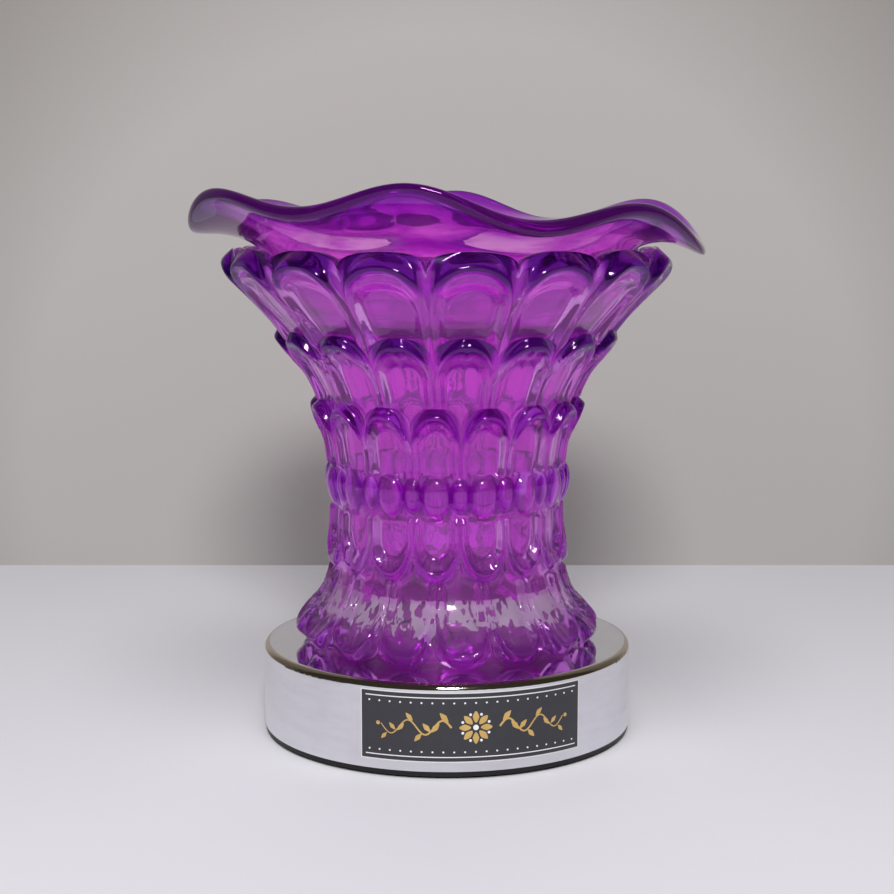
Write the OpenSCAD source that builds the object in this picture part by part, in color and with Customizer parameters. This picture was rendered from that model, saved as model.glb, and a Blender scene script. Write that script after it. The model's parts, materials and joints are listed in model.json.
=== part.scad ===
// Touch lamp warmer: a pressed glass shade and a wavy glass dish on a round chrome touch base.
// Millimetres, +Z up. The origin is on the table at the centre of the base, and the front faces -Y.

/* [Base] */
// Diameter of the chrome housing
base_d = 115; // [110:1:130]
// Height of the top plate above the table
base_h = 28; // [27:0.5:36]
// Thickness of the housing's sheet metal
shell_t = 1; // [0.8:0.1:1.2]
// Radius of the rounded edge between the top plate and the side
edge_r = 2; // [1.5:0.25:4]
// Height of the black rim that shows below the chrome
rim_h = 1.5; // [1:0.25:2.5]
// Thickness of the cover's floor
cover_t = 2.5; // [2:0.25:3]
// How far the rubber feet stand out below the cover
foot_out = 0.8; // [0.5:0.1:1.5]
// Diameter of a rubber foot
foot_d = 10; // [8:0.5:12]

/* [Shade] */
// Height of the glass shade, foot to petal tips
shade_h = 122.6; // [110:1:135]
// Diameter of the shade across its petal tips
rim_d = 135; // [128:1:144]
// Number of petals round the shade
petals = 16; // [12:2:20]
// Thickness of the glass, groove to inner face
wall = 4.4; // [3.6:0.2:5]
// Height of the pressed ribs
rib_h = 1.1; // [0.6:0.1:1.4]
// Depth of the thumbprint inside each rib
print_h = 1.1; // [0:0.1:1.3]
// How far the large beads stand out
bead_h = 2.6; // [1.5:0.1:3]

/* [Dish] */
// Diameter of the dish across its brim
dish_d = 158; // [150:1:168]
// Mean height of the brim above the petal tips
brim_up = 11.8; // [10:0.2:15]
// Thickness of the dish's glass
dish_t = 4; // [3:0.25:5]
// Thickness of the rounded brim edge
brim_t = 4.8; // [4:0.2:6]
// Number of waves round the brim
waves = 6; // [4:2:8]
// Half the height of a wave
wave_h = 4; // [2:0.2:5]
// How much more two sides of the brim stand up than the other two
saddle_h = 2.5; // [0:0.25:3]
// How much one side of the brim stands up above the opposite one
lean_h = 2.1; // [0:0.1:3]

/* [Lamp] */
// Diameter of the reflector lamp
bulb_d = 50; // [48:0.5:51]
// Length of the lamp from its seat to the front glass
bulb_len = 47; // [44:0.5:50]
// Distance between the lamp's two pins
pin_pitch = 10; // [9.6:0.1:10.4]
// How far the lamp turns in its holder
twist = 20; // [16:1:24]

/* [Hidden] */
$fn = 64;

// Overrun of every cut
cut = 1;
// Gap between pieces that slip into each other
slip = 0.3;

// Base
base_r = base_d / 2;
shell_z = foot_out + rim_h;
cover_z = foot_out + cover_t;
rim_in = 0.3;
lip_t = 1.5;
lip_h = 3;
lip_r = base_r - shell_t - slip;
foot_t = 1.8;
foot_fit = 0.1;
feet = 4;
foot_at_share = 0.8;
foot_at = base_r * foot_at_share;
plate_z = base_h - shell_t;

// Pillars under the top plate that the cover is screwed to
posts = 3;
post_r = 4;
post_at_share = 0.78;
post_at = base_r * post_at_share;
post_turn = 30;

// M3 screws and nuts
screw_r = 1.5;
screw_gap = 0.2;
head_r = 2.8;
head_h = 1.9;
nut_r = 3.1;
nut_h = 2.4;
tail = 1.2;
cover_screw_l = 10;
cover_head_in = 1.4;

// Grommet where the cord goes in, at the back
grommet_bore_r = 3.2;
grommet_neck_r = 4.2;
grommet_flange_r = 5.6;
grommet_flange_t = 1.5;
grommet_z = 14.5;
// The neck and its hole have flats, so that the grommet can't turn
grommet_flats = 12;
grommet_fit = 0.05;

// Lampholder
holder_gap = 0.3;
holder_z = plate_z - holder_gap;
holder_r = 16;
holder_w = 17;
holder_roof = 4.7;
holder_floor = 4.6;
holder_screw_at = 11.5;
holder_sink = 2.3;
bracket_t = 1.2;
bracket_w = 16;
// The nuts under the bracket stay this far above the cover
bracket_gap = 0.5;
bracket_z = cover_z + bracket_gap + nut_h;
holder_bottom = bracket_z + bracket_t;
holder_h = holder_z - holder_bottom;
pin_neck_r = 1.5;
pin_head_r = 2.4;
pin_head_h = 1.9;
pin_gap = 0.4;
pin_len = 7.5;
pin_at = pin_pitch / 2;
contact_t = 0.8;
contact_w = 3;
contact_l = 4;
lamp_seat = holder_z + holder_gap;
hole_r = 17.5;

// Lamp
bulb_r = bulb_d / 2;
bulb_foot_r = 12;
bulb_foot_h = 3;
bulb_neck_r = 10;
bulb_neck_h = 11;
bulb_rim_h = 3.5;
bulb_glass_t = 1.2;
front_t = 1.4;
front_in = 0.4;
front_fit = 0.1;
capsule_r = 4.5;
capsule_wall = 0.8;
capsule_h = 20;
capsule_stem = 4;
filament_r = 0.7;
filament_lead_r = 0.3;
filament_gap = 3;
bulb_neck_z = lamp_seat + bulb_neck_h;
bulb_top = lamp_seat + bulb_len;
bulb_rim_z = bulb_top - bulb_rim_h;

// Shade. A petal is one pitch wide. Heights and radii below are shares of shade_h and of the rim's radius.
rim_r = rim_d / 2;
pitch = 360 / petals;
// Turn of the petals from the front, so that the joint between two of them stands left of centre
petal_turn = 6.25;
profile_shares = [
    [0.000, 0.655], [0.028, 0.666], [0.049, 0.668], [0.075, 0.648], [0.105, 0.604], [0.136, 0.566],
    [0.183, 0.536], [0.220, 0.531], [0.300, 0.530], [0.375, 0.524], [0.490, 0.544], [0.530, 0.557],
    [0.587, 0.581], [0.640, 0.602], [0.678, 0.636], [0.735, 0.695], [0.766, 0.726], [0.815, 0.791],
    [0.848, 0.846], [0.881, 0.901], [0.922, 0.961], [0.938, 0.976], [0.962, 0.982], [1.000, 0.966]
];
// Each tier's arched edge: [height of its crown, height of its cusps], as shares of shade_h
foot_edge_shares = [0.008, 0.065];
hang_edge_shares = [0.201, 0.255];
bead_low_share = 0.358;
bead_high_share = 0.462;
third_edge_shares = [0.628, 0.570];
second_edge_shares = [0.800, 0.740];
first_edge_shares = [1.000, 0.966];
// Step over which the profile's slope is taken
slope_step_share = 0.02;
// How square the arches are: 2 is an ellipse
arch_power = 2.2;
// Where a panel's arch springs, and the half-width and the crown of its thumbprint, as shares of the panel
spring_share = 0.35;
print_w_share = 0.74;
print_top_share = 0.72;
// How much higher a rib stands at its crown than along its sides, as a share of rib_h
crown_swell = 0.7;
// How far the foot's skirt stands in behind the scallops, and how far the petal tips are rounded over
skirt_in = 2.2;
small_bead_share = 0.62;
// A bead's half-width as a share of half a pitch, and how full its outline is
bead_w_share = 0.62;
bead_power = 0.7;
bead_ring_share = 0.2;
tip_round = 3.2;
// The rounded tips, in tip rounds: how far in at the edge, then how far down and in
tip_edge_share = 0.5;
tip_back_shares = [0.5, 1.5];

// Columns of points across one pitch, in half-pitches from the middle of a petal
column_shares = [-1, -0.86, -0.5, -0.14, 0, 0.14, 0.5, 0.86];
// Rows of points up each tier, as shares of its height
foot_row_shares = [0, 0.14, 0.32, 0.6];
hang_row_shares = [0, 0.14, 0.32, 0.7];
bead_row_shares = [0, 0.22, 0.5, 0.78];
third_row_shares = [0.35, 0.62, 0.8, 0.92];
second_row_shares = [0, 0.3, 0.55, 0.72, 0.86];
first_row_shares = [0, 0.3, 0.55, 0.7, 0.8, 0.9];
inner_row_shares = [0.88, 0.84, 0.8, 0.74, 0.66, 0.53, 0.2, 0.13, 0.07];

// Dish. It rests in the shade's cone at seat_share of the shade's height.
seat_share = 0.8;
dish_fit = 0.4;
foot_round = 2.2;
dish_columns = 60;
// The brim is bent by hand, so its waves are uneven. In degrees: turn of the first crest from the front, how
// far the crests wander once and twice round the brim, and where they wander, swell, stand up and lean most
wave_turn = -5;
wave_drift = [26, 36];
drift_turn = [-58, -3];
swell_share = 0.2;
swell_turn = 120;
saddle_turn = 162;
lean_turn = -82;
// The waves grow with this power of the way out from the foot, up to this many times their brim height
ramp_power = 3;
ramp_top = 1.2;
// Directions of the points round the brim's edge, from straight out, in degrees
brim_arc = [-60 : 40 : 140];
// Underside from the foot to the brim: [share of the way out, share of the way up]
under_shares = [[0.05, 0.19], [0.12, 0.4], [0.2, 0.56], [0.35, 0.73], [0.56, 0.82], [0.79, 0.885]];

// Locating ring under the shade
ring_gap = 1.2;
ring_t = 1;
ring_lip_h = 5;
ring_hole_in = 2.5;

// Ring terminal of the touch lead
terminal_t = 0.8;
terminal_r = 3.6;
barrel_r = 1.2;
barrel_l = 5;

// Touch circuit. Places on the board are shares of its length and width, from its middle.
board_l = 42;
board_w = 26;
board_t = 1.6;
board_lift = 6;
// Place of the board's middle behind the lampholder, as a share of the base's radius
board_at_share = 0.478;
board_hole_in = 3;
standoff_r = 3;
board_screw_r = 1.1;
board_head_r = 2.2;
board_head_h = 1.5;
board_screw_l = 5;
chip_size = [9.3, 6.4, 3.4];
chip_leg = [0.6, 8, 1.2];
chip_place_shares = [-0.26, 0.05];
film_size = [16, 7];
film_place_shares = [-0.1, -0.25];
triac_size = [8, 2.8];
triac_leg_h = 2;
triac_leg_w = 0.8;
triac_place_shares = [0.3, -0.05];
smooth_r = 3.2;
smooth_place_shares = [0.22, -0.32];
resistor_r = 1.1;
resistor_l = 6;
resistor_lead_r = 0.3;
resistor_lead_l = 1.2;
resistors_on_board = 3;
resistor_step = 2.5;
resistor_place_shares = [-0.24, 0.258];
zener_r = 1;
zener_l = 4;
zener_place_shares = [0.33, 0.2];
block_size = [12, 8];
block_place_shares = [0.06, 0.32];
block_hole_r = 1.5;
block_screw_r = 1.6;
block_screw_in = 1;
// Heights of the tall parts, as shares of the room between the board and the top plate
film_h_share = 0.745;
triac_h_share = 0.68;
smooth_h_share = 0.62;
block_h_share = 0.56;
wire_r = 0.9;
wire_sides = 8;
wire_steps = 10;
// A direction that no lead runs along, from which the points round it are turned
wire_side = [0.6, -0.8, 0.1];
// How far a lamp lead runs straight out of the holder, and straight up from the board
lead_out = 2.2;
lead_up = 3.2;
pad_shares = [-0.12, -0.44];
lead_pitch = 8;
touch_pad_shares = [0.44, 0.1];

function arch(u) = pow(max(0, 1 - pow(abs(u), arch_power)), 1 / arch_power);
function wrap(a) = let(b = (a / pitch + 0.5) - floor(a / pitch + 0.5)) 2 * b - 1;
// Place across the petals of the first, second and foot tiers, and across the tiers set between them
function across(a) = wrap(a - petal_turn);
function between(a) = wrap(a - petal_turn + pitch / 2);

function edge(shares, u) = (shares[1] + (shares[0] - shares[1]) * arch(u)) * shade_h;
function foot_edge(a) = edge(foot_edge_shares, across(a));
function hang_edge(a) = edge(hang_edge_shares, between(a));
function third_edge(a) = edge(third_edge_shares, between(a));
function second_edge(a) = edge(second_edge_shares, across(a));
function first_edge(a) = edge(first_edge_shares, across(a));

function plain_r(z) = rim_r * lookup(z / shade_h, profile_shares);
function plain_slope(z) = let(d = slope_step_share * shade_h) (plain_r(z + d) - plain_r(z - d)) / (2 * d);
function inner_r(z) = plain_r(z) - wall * sqrt(1 + pow(plain_slope(z), 2));
// The foot is straight inside, up to the last of the inner rows
foot_in_r = inner_r(inner_row_shares[len(inner_row_shares) - 1] * shade_h);

// A rib follows the panel's edge, and the thumbprint is sunk inside it
function reach(u, v) = pow(pow(abs(u), arch_power) + pow(v, arch_power), 1 / arch_power);
function rise(t) = max(0, (t - spring_share) / (1 - spring_share));
function rib(u, t) =
    let(outer = reach(u, rise(t)), inner = reach(u / print_w_share, rise(t) / rise(print_top_share)))
    inner < 1 ? -print_h * cos(90 * pow(inner, 2))
    : outer >= 1 ? 0
    : rib_h * (1 + crown_swell * pow(rise(t), 2)) * sin(180 * (inner - 1) / (inner - outer));
function bead(u) = pow(max(0, cos(90 * min(1, abs(u) / bead_w_share))), bead_power);
function bead_bump(a, t) =
    let(ring = sin(180 * t), large = bead(between(a)), small = small_bead_share * bead(across(a)))
    bead_h * ring * max(bead_ring_share, large, small);

// One point of the shade's outside, at azimuth a, height z and relief out
function on_shade(a, z, out) = [(plain_r(z) + out) * sin(a), -(plain_r(z) + out) * cos(a), base_h + z];
function row(low, high, t) = low + t * (high - low);

shade_angles = [for (k = [0 : petals - 1]) for (s = column_shares) petal_turn + pitch * (k + s / 2)];
third_foot = [for (a = shade_angles) on_shade(a, bead_high_share * shade_h, rib(between(a), 0))];
function inner_ring(s) =
    [for (a = shade_angles) on_shade(a, s * shade_h, inner_r(s * shade_h) - plain_r(s * shade_h))];

// The glass is one piece. It is drawn as two nodes that meet in a flat ring at the top of the beads, so that
// each of them is a plain tube whose collision hulls follow the wall.
lower_rows = concat(
    [[for (a = shade_angles) on_shade(a, 0, -skirt_in)]],
    [[for (a = shade_angles) on_shade(a, foot_edge(a), -skirt_in)]],
    [for (t = foot_row_shares) [for (a = shade_angles)
        on_shade(a, row(foot_edge(a), hang_edge(a), t), rib(across(a), 1 - t))]],
    [for (t = hang_row_shares) [for (a = shade_angles)
        on_shade(a, row(hang_edge(a), bead_low_share * shade_h, t), rib(between(a), 1 - t))]],
    [for (t = bead_row_shares) [for (a = shade_angles)
        on_shade(a, shade_h * row(bead_low_share, bead_high_share, t), bead_bump(a, t))]],
    [third_foot],
    [inner_ring(bead_high_share)],
    [for (s = inner_row_shares) if (s < bead_high_share) inner_ring(s)],
    [[for (a = shade_angles) on_shade(a, 0, foot_in_r - plain_r(0))]]
);
upper_rows = concat(
    [third_foot],
    [for (t = third_row_shares) [for (a = shade_angles)
        on_shade(a, row(bead_high_share * shade_h, third_edge(a), t), rib(between(a), t))]],
    [for (t = second_row_shares) [for (a = shade_angles)
        on_shade(a, row(third_edge(a), second_edge(a), t), rib(across(a), t))]],
    [for (t = first_row_shares) [for (a = shade_angles)
        on_shade(a, row(second_edge(a), first_edge(a), t), rib(across(a), t))]],
    [[for (a = shade_angles) on_shade(a, first_edge(a), -tip_edge_share * tip_round)]],
    [[for (a = shade_angles)
        on_shade(a, first_edge(a) - tip_back_shares[0] * tip_round, -tip_back_shares[1] * tip_round)]],
    [for (s = inner_row_shares) if (s > bead_high_share) inner_ring(s)],
    [inner_ring(bead_high_share)]
);

// Closed tube of rings: each ring joins the next, and the last joins the first
module ring_solid(rows) {
    n = len(rows[0]);
    m = len(rows);
    polyhedron(
        points = [for (ring = rows) each ring],
        faces = [for (j = [0 : m - 1]) for (i = [0 : n - 1])
            let(up = (j + 1) % m, next = (i + 1) % n)
            let(a = j * n + i, b = j * n + next, c = up * n + next, d = up * n + i)
            each [[a, c, b], [a, d, c]]],
        convexity = 8
    );
}

module shade_lower() {
    color([0.6, 0.2, 0.75, 0.6]) ring_solid(lower_rows);
}

module shade_upper() {
    color([0.6, 0.2, 0.75, 0.6]) ring_solid(upper_rows);
}

// Dish: an underside that stays clear of the shade's cone, a round brim and a bowl of even thickness
seat_z = base_h + seat_share * shade_h;
dish_h = (1 - seat_share) * shade_h + brim_up;
dish_foot_r = inner_r(seat_share * shade_h + foot_round) - dish_fit;
brim_z = seat_z + dish_h;
brim_r = dish_d / 2 - brim_t / 2;
foot_edge_point = [dish_foot_r, seat_z + foot_round];
under_w = brim_r - dish_foot_r;
under_h = dish_h - brim_t / 2;
under_points = concat([foot_edge_point],
    [for (s = under_shares) [dish_foot_r + s[0] * under_w, seat_z + s[1] * under_h]]);
function ramp(r) = min(ramp_top, pow(max(0, (r - dish_foot_r) / under_w), ramp_power));
function wander(a) = wave_drift[0] * sin(a - drift_turn[0]) + wave_drift[1] * sin(2 * (a - drift_turn[1]));
function crests(a) =
    wave_h * (1 + swell_share * cos(a - swell_turn)) * cos(waves * (a - wave_turn) + wander(a));
function leaning(a) = saddle_h * cos(2 * (a - saddle_turn)) + lean_h * cos(a - lean_turn);
function wave(a, r) = ramp(r) * (crests(a) + leaning(a));
function on_dish(a, p) = [p[0] * sin(a), -p[0] * cos(a), p[1] + wave(a, p[0])];
// The bowl's surface: the underside moved in by the glass thickness
function inward(i) =
    let(p = under_points, d = p[min(len(p) - 1, i + 1)] - p[max(0, i - 1)]) [-d[1], d[0]] / norm(d);
dish_profile = concat(
    [[dish_foot_r - foot_round, seat_z]],
    under_points,
    [for (k = brim_arc) [brim_r + brim_t / 2 * cos(k), brim_z - brim_t / 2 + brim_t / 2 * sin(k)]],
    [for (i = [len(under_points) - 1 : -1 : 1]) under_points[i] + dish_t * inward(i)],
    [[dish_foot_r - foot_round - dish_t, seat_z + dish_t]]
);
dish_angles = [for (k = [0 : dish_columns - 1]) 360 * k / dish_columns];

// Rings joined into a shell, with a flat cap on the first and the last
module capped_rings(rows) {
    n = len(rows[0]);
    m = len(rows);
    polyhedron(
        points = [for (ring = rows) each ring],
        faces = concat(
            [for (j = [0 : m - 2]) for (i = [0 : n - 1])
                let(next = (i + 1) % n, a = j * n + i, b = j * n + next, c = b + n, d = a + n)
                each [[a, c, b], [a, d, c]]],
            [[for (i = [0 : n - 1]) i]],
            [[for (i = [n - 1 : -1 : 0]) (m - 1) * n + i]]
        ),
        convexity = 6
    );
}

module dish() {
    rings = [for (p = dish_profile) [for (a = dish_angles) on_dish(a, p)]];
    color([0.65, 0.2, 0.78, 0.6]) capped_rings(rings);
}

// Small shapes that several pieces share
module tube(outer, inner, h) {
    difference() {
        cylinder(r = outer, h = h);
        translate([0, 0, -cut]) cylinder(r = inner, h = h + 2 * cut);
    }
}
module hole(r, z, h) {
    translate([0, 0, z - cut]) cylinder(r = r, h = h + 2 * cut);
}
module around(n, r, turn = 0) {
    for (k = [0 : n - 1]) rotate(turn + 360 * k / n) translate([r, 0, 0]) children();
}
module across_holder() {
    for (side = [-1, 1]) translate([side * holder_screw_at, 0, 0]) children();
}
module board_corners() {
    x = board_l / 2 - board_hole_in;
    y = board_w / 2 - board_hole_in;
    for (i = [-1, 1]) for (j = [-1, 1]) translate([i * x, board_y + j * y, 0]) children();
}
module pan_screw(shank_l) {
    cylinder(r = head_r, h = head_h);
    translate([0, 0, -shank_l]) cylinder(r = screw_r, h = shank_l);
}
module hex_nut() {
    difference() {
        cylinder(r = nut_r, h = nut_h, $fn = 6);
        translate([0, 0, -cut]) cylinder(r = screw_r, h = nut_h + 2 * cut);
    }
}
// Section of a drum with a rounded top edge
module drum_section(r, h, e) {
    square([r - e, h]);
    square([r, h - e]);
    translate([r - e, h - e]) circle(e);
}

// Derived places in the base
ring_r = foot_in_r - ring_gap;
ring_hole_r = hole_r + ring_hole_in;
top_screw_at = (ring_hole_r + ring_r) / 2;
board_y = base_r * board_at_share;
board_z = cover_z + board_lift;
board_top = board_z + board_t;
board_room = plate_z - board_top;
// What each top screw clamps below the plate, from the right and counted to the back
clamp_stack = [bracket_t + terminal_t, 0, bracket_t, 0];
function on_board(shares) = [shares[0] * board_l, board_y + shares[1] * board_w, board_top];

module grommet_neck(r, h) {
    cylinder(r = r, h = h, $fn = grommet_flats);
}

module base_housing() {
    color("lavender") difference() {
        translate([0, 0, shell_z]) rotate_extrude() drum_section(base_r, base_h - shell_z, edge_r);
        translate([0, 0, shell_z - cut])
            rotate_extrude() drum_section(base_r - shell_t, plate_z - shell_z + cut, edge_r - shell_t);
        hole(hole_r, plate_z, shell_t);
        around(len(clamp_stack), top_screw_at) hole(screw_r + screw_gap, plate_z, shell_t);
        translate([0, base_r - shell_t - cut, grommet_z]) rotate([-90, 0, 0])
            grommet_neck(grommet_neck_r + grommet_fit, shell_t + 2 * cut);
    }
}

module bottom_cover() {
    color([0.08, 0.08, 0.09]) difference() {
        union() {
            translate([0, 0, foot_out]) cylinder(r = base_r - rim_in, h = rim_h);
            translate([0, 0, foot_out]) cylinder(r = lip_r, h = cover_t);
            translate([0, 0, cover_z]) tube(lip_r, lip_r - lip_t, lip_h);
            board_corners() translate([0, 0, cover_z]) cylinder(r = standoff_r, h = board_lift);
        }
        around(feet, foot_at, 180 / feet) translate([0, 0, foot_out - cut])
            cylinder(r = foot_d / 2 + foot_fit, h = foot_t - foot_out + cut);
        around(posts, post_at, post_turn) {
            hole(screw_r + screw_gap, foot_out, cover_t);
            translate([0, 0, foot_out - cut]) cylinder(r = head_r + screw_gap, h = cover_head_in + cut);
        }
        board_corners() translate([0, 0, board_z - board_screw_l])
            cylinder(r = board_screw_r, h = board_screw_l + cut);
    }
}

module rubber_feet() {
    color([0.15, 0.15, 0.15]) around(feet, foot_at, 180 / feet) cylinder(r = foot_d / 2, h = foot_t);
}

module cover_posts() {
    color("silver") around(posts, post_at, post_turn) translate([0, 0, cover_z]) difference() {
        cylinder(r = post_r, h = plate_z - cover_z);
        translate([0, 0, -cut]) cylinder(r = screw_r, h = cover_screw_l - cover_t + cover_head_in + cut);
    }
}

module cover_screws() {
    color("dimgray") around(posts, post_at, post_turn) translate([0, 0, foot_out + cover_head_in])
        mirror([0, 0, 1]) {
            cylinder(r = head_r, h = cover_head_in);
            translate([0, 0, -(cover_screw_l - tail)]) cylinder(r = screw_r, h = cover_screw_l - tail);
        }
}

module cord_grommet() {
    inside_y = base_r - shell_t - grommet_flange_t;
    length = 2 * grommet_flange_t + shell_t;
    color([0.12, 0.12, 0.12]) translate([0, inside_y, grommet_z]) rotate([-90, 0, 0]) difference() {
        union() {
            cylinder(r = grommet_flange_r, h = grommet_flange_t - slip);
            grommet_neck(grommet_neck_r, length);
            translate([0, 0, length - grommet_flange_t])
                cylinder(r = grommet_flange_r, h = grommet_flange_t);
        }
        hole(grommet_bore_r, 0, length);
    }
}

module shade_ring() {
    color("silver") translate([0, 0, base_h]) difference() {
        union() {
            tube(ring_r, ring_hole_r, ring_t);
            tube(ring_r, ring_r - ring_t, ring_lip_h);
        }
        around(len(clamp_stack), top_screw_at) hole(screw_r + screw_gap, 0, ring_t);
    }
}

module top_screws() {
    color("gainsboro") for (k = [0 : len(clamp_stack) - 1]) rotate(360 * k / len(clamp_stack))
        translate([top_screw_at, 0, base_h + ring_t])
            pan_screw(ring_t + shell_t + clamp_stack[k] + nut_h + tail);
}

module top_nuts() {
    color("silver") for (k = [0 : len(clamp_stack) - 1]) rotate(360 * k / len(clamp_stack))
        translate([top_screw_at, 0, plate_z - clamp_stack[k] - nut_h]) hex_nut();
}

// Curved way of a pin of radius r through the holder, turned by the lamp's twist
module twist_way(r, z0, z1) {
    for (side = [0, 180]) rotate(side) translate([0, 0, z0]) {
        translate([pin_at, 0, 0]) cylinder(r = r, h = z1 - z0);
        rotate(twist) translate([pin_at, 0, 0]) cylinder(r = r, h = z1 - z0);
        rotate_extrude(angle = twist) translate([pin_at - r, 0]) square([2 * r, z1 - z0]);
    }
}

module lampholder_body() {
    color("ivory") difference() {
        translate([0, 0, holder_bottom]) linear_extrude(holder_h) intersection() {
            circle(r = holder_r);
            square([2 * holder_r, holder_w], center = true);
        }
        twist_way(pin_neck_r + pin_gap, holder_z - holder_roof - cut, holder_z + cut);
        twist_way(pin_head_r + pin_gap, holder_bottom + holder_floor, holder_z - holder_roof);
        for (side = [0, 180]) rotate(side + twist) translate([pin_at, 0, holder_z - holder_roof - cut])
            cylinder(r = pin_head_r + pin_gap, h = holder_roof + 2 * cut);
        across_holder() {
            hole(screw_r + screw_gap, holder_bottom, holder_h);
            translate([0, 0, holder_z - holder_sink])
                cylinder(r = head_r + screw_gap, h = holder_sink + cut);
        }
    }
}

// Where the underside of a pin's head comes to
pin_end_z = lamp_seat - pin_len;
module lampholder_contacts() {
    post_h = pin_end_z - holder_gap - holder_bottom - holder_floor;
    color("goldenrod") for (side = [0, 180]) rotate(side)
        translate([pin_at, -contact_w / 2, holder_bottom + holder_floor]) {
            translate([-contact_t / 2, 0, 0]) cube([contact_t, contact_w, post_h]);
            translate([-contact_l / 2, 0, post_h - contact_t]) cube([contact_l, contact_w, contact_t]);
        }
}

// Stirrup that hangs the holder from the top plate
module lampholder_bracket() {
    leg_x = top_screw_at - nut_r - bracket_t - slip;
    flange_l = top_screw_at + nut_r - leg_x;
    color("darkgray") difference() {
        union() {
            translate([-leg_x, -bracket_w / 2, bracket_z]) cube([2 * leg_x, bracket_w, bracket_t]);
            for (side = [0, 180]) rotate(side) translate([leg_x - bracket_t, -bracket_w / 2, 0]) {
                translate([0, 0, bracket_z]) cube([bracket_t, bracket_w, plate_z - bracket_z]);
                translate([0, 0, plate_z - bracket_t]) cube([flange_l + bracket_t, bracket_w, bracket_t]);
            }
        }
        around(2, top_screw_at) hole(screw_r + screw_gap, plate_z - bracket_t, bracket_t);
        across_holder() hole(screw_r + screw_gap, bracket_z, bracket_t);
    }
}

module holder_screws() {
    color("gainsboro") across_holder() translate([0, 0, holder_z - holder_sink])
        pan_screw(holder_h - holder_sink + bracket_t + nut_h);
}

module holder_nuts() {
    color("silver") across_holder() translate([0, 0, bracket_z - nut_h]) hex_nut();
}

module touch_board() {
    color("darkgreen") difference() {
        translate([-board_l / 2, board_y - board_w / 2, board_z]) cube([board_l, board_w, board_t]);
        board_corners() hole(board_screw_r + screw_gap, board_z, board_t);
    }
}

module board_screws() {
    color("silver") board_corners() {
        translate([0, 0, board_top]) cylinder(r = board_head_r, h = board_head_h);
        translate([0, 0, board_z - board_screw_l + tail])
            cylinder(r = board_screw_r, h = board_screw_l - tail + board_t);
    }
}

module touch_chip() {
    legs = 4;
    leg_step = chip_size[0] / legs;
    color([0.1, 0.1, 0.1]) translate(on_board(chip_place_shares)) {
        translate([-chip_size[0] / 2, -chip_size[1] / 2, chip_leg[2] - chip_leg[0]]) cube(chip_size);
        for (k = [0 : legs - 1])
            translate([(k - (legs - 1) / 2) * leg_step - chip_leg[0] / 2, -chip_leg[1] / 2, 0])
                cube(chip_leg);
    }
}

module triac() {
    color([0.15, 0.15, 0.16]) translate(on_board(triac_place_shares)) {
        translate([-triac_size[0] / 2, -triac_size[1] / 2, triac_leg_h])
            cube(concat(triac_size, triac_h_share * board_room));
        for (k = [-1 : 1]) translate([k * triac_size[0] / 3 - triac_leg_w / 2, -triac_leg_w / 2, 0])
            cube([triac_leg_w, triac_leg_w, triac_leg_h]);
    }
}

module film_capacitor() {
    color("firebrick") translate(on_board(film_place_shares))
        translate([-film_size[0] / 2, -film_size[1] / 2, 0])
            cube(concat(film_size, film_h_share * board_room));
}

module smoothing_capacitor() {
    color([0.1, 0.12, 0.3]) translate(on_board(smooth_place_shares))
        cylinder(r = smooth_r, h = smooth_h_share * board_room);
}

// A small round part lying on the board between two bent leads
module axial_part(r, l) {
    translate([-l / 2, 0, r]) rotate([0, 90, 0]) cylinder(r = r, h = l);
    for (side = [-1, 1]) {
        translate([side * l / 2, 0, r]) rotate([0, side * 90, 0])
            cylinder(r = resistor_lead_r, h = resistor_lead_l);
        translate([side * (l / 2 + resistor_lead_l), 0, 0])
            cylinder(r = resistor_lead_r, h = r + resistor_lead_r);
    }
}

module resistors() {
    color("peru") for (k = [0 : resistors_on_board - 1])
        translate(on_board(resistor_place_shares) + [0, k * resistor_step, 0])
            axial_part(resistor_r, resistor_l);
}

module zener_diode() {
    color("orangered") translate(on_board(zener_place_shares)) axial_part(zener_r, zener_l);
}

module terminal_block() {
    block_h = block_h_share * board_room;
    color("seagreen") translate(on_board(block_place_shares)) difference() {
        translate([-block_size[0] / 2, -block_size[1] / 2, 0]) cube(concat(block_size, block_h));
        for (side = [-1, 1]) translate([side * block_size[0] / 4, 0, 0]) {
            translate([0, block_size[1] / 2 + cut, block_h / 3]) rotate([90, 0, 0])
                cylinder(r = block_hole_r, h = block_size[1] / 2 + cut);
            translate([0, 0, block_h - block_screw_in])
                cylinder(r = block_screw_r, h = block_screw_in + cut);
        }
    }
}

terminal_z = plate_z - bracket_t - terminal_t;
barrel_y = terminal_r + barrel_l;
module touch_terminal() {
    color("goldenrod") translate([top_screw_at, 0, terminal_z]) difference() {
        union() {
            cylinder(r = terminal_r, h = terminal_t);
            translate([-barrel_r, 0, 0]) cube([2 * barrel_r, barrel_y, terminal_t]);
            translate([0, barrel_y - barrel_l / 2, terminal_t - barrel_r]) rotate([-90, 0, 0])
                cylinder(r = barrel_r, h = barrel_l / 2);
        }
        hole(screw_r + screw_gap, 0, terminal_t);
    }
}

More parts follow.
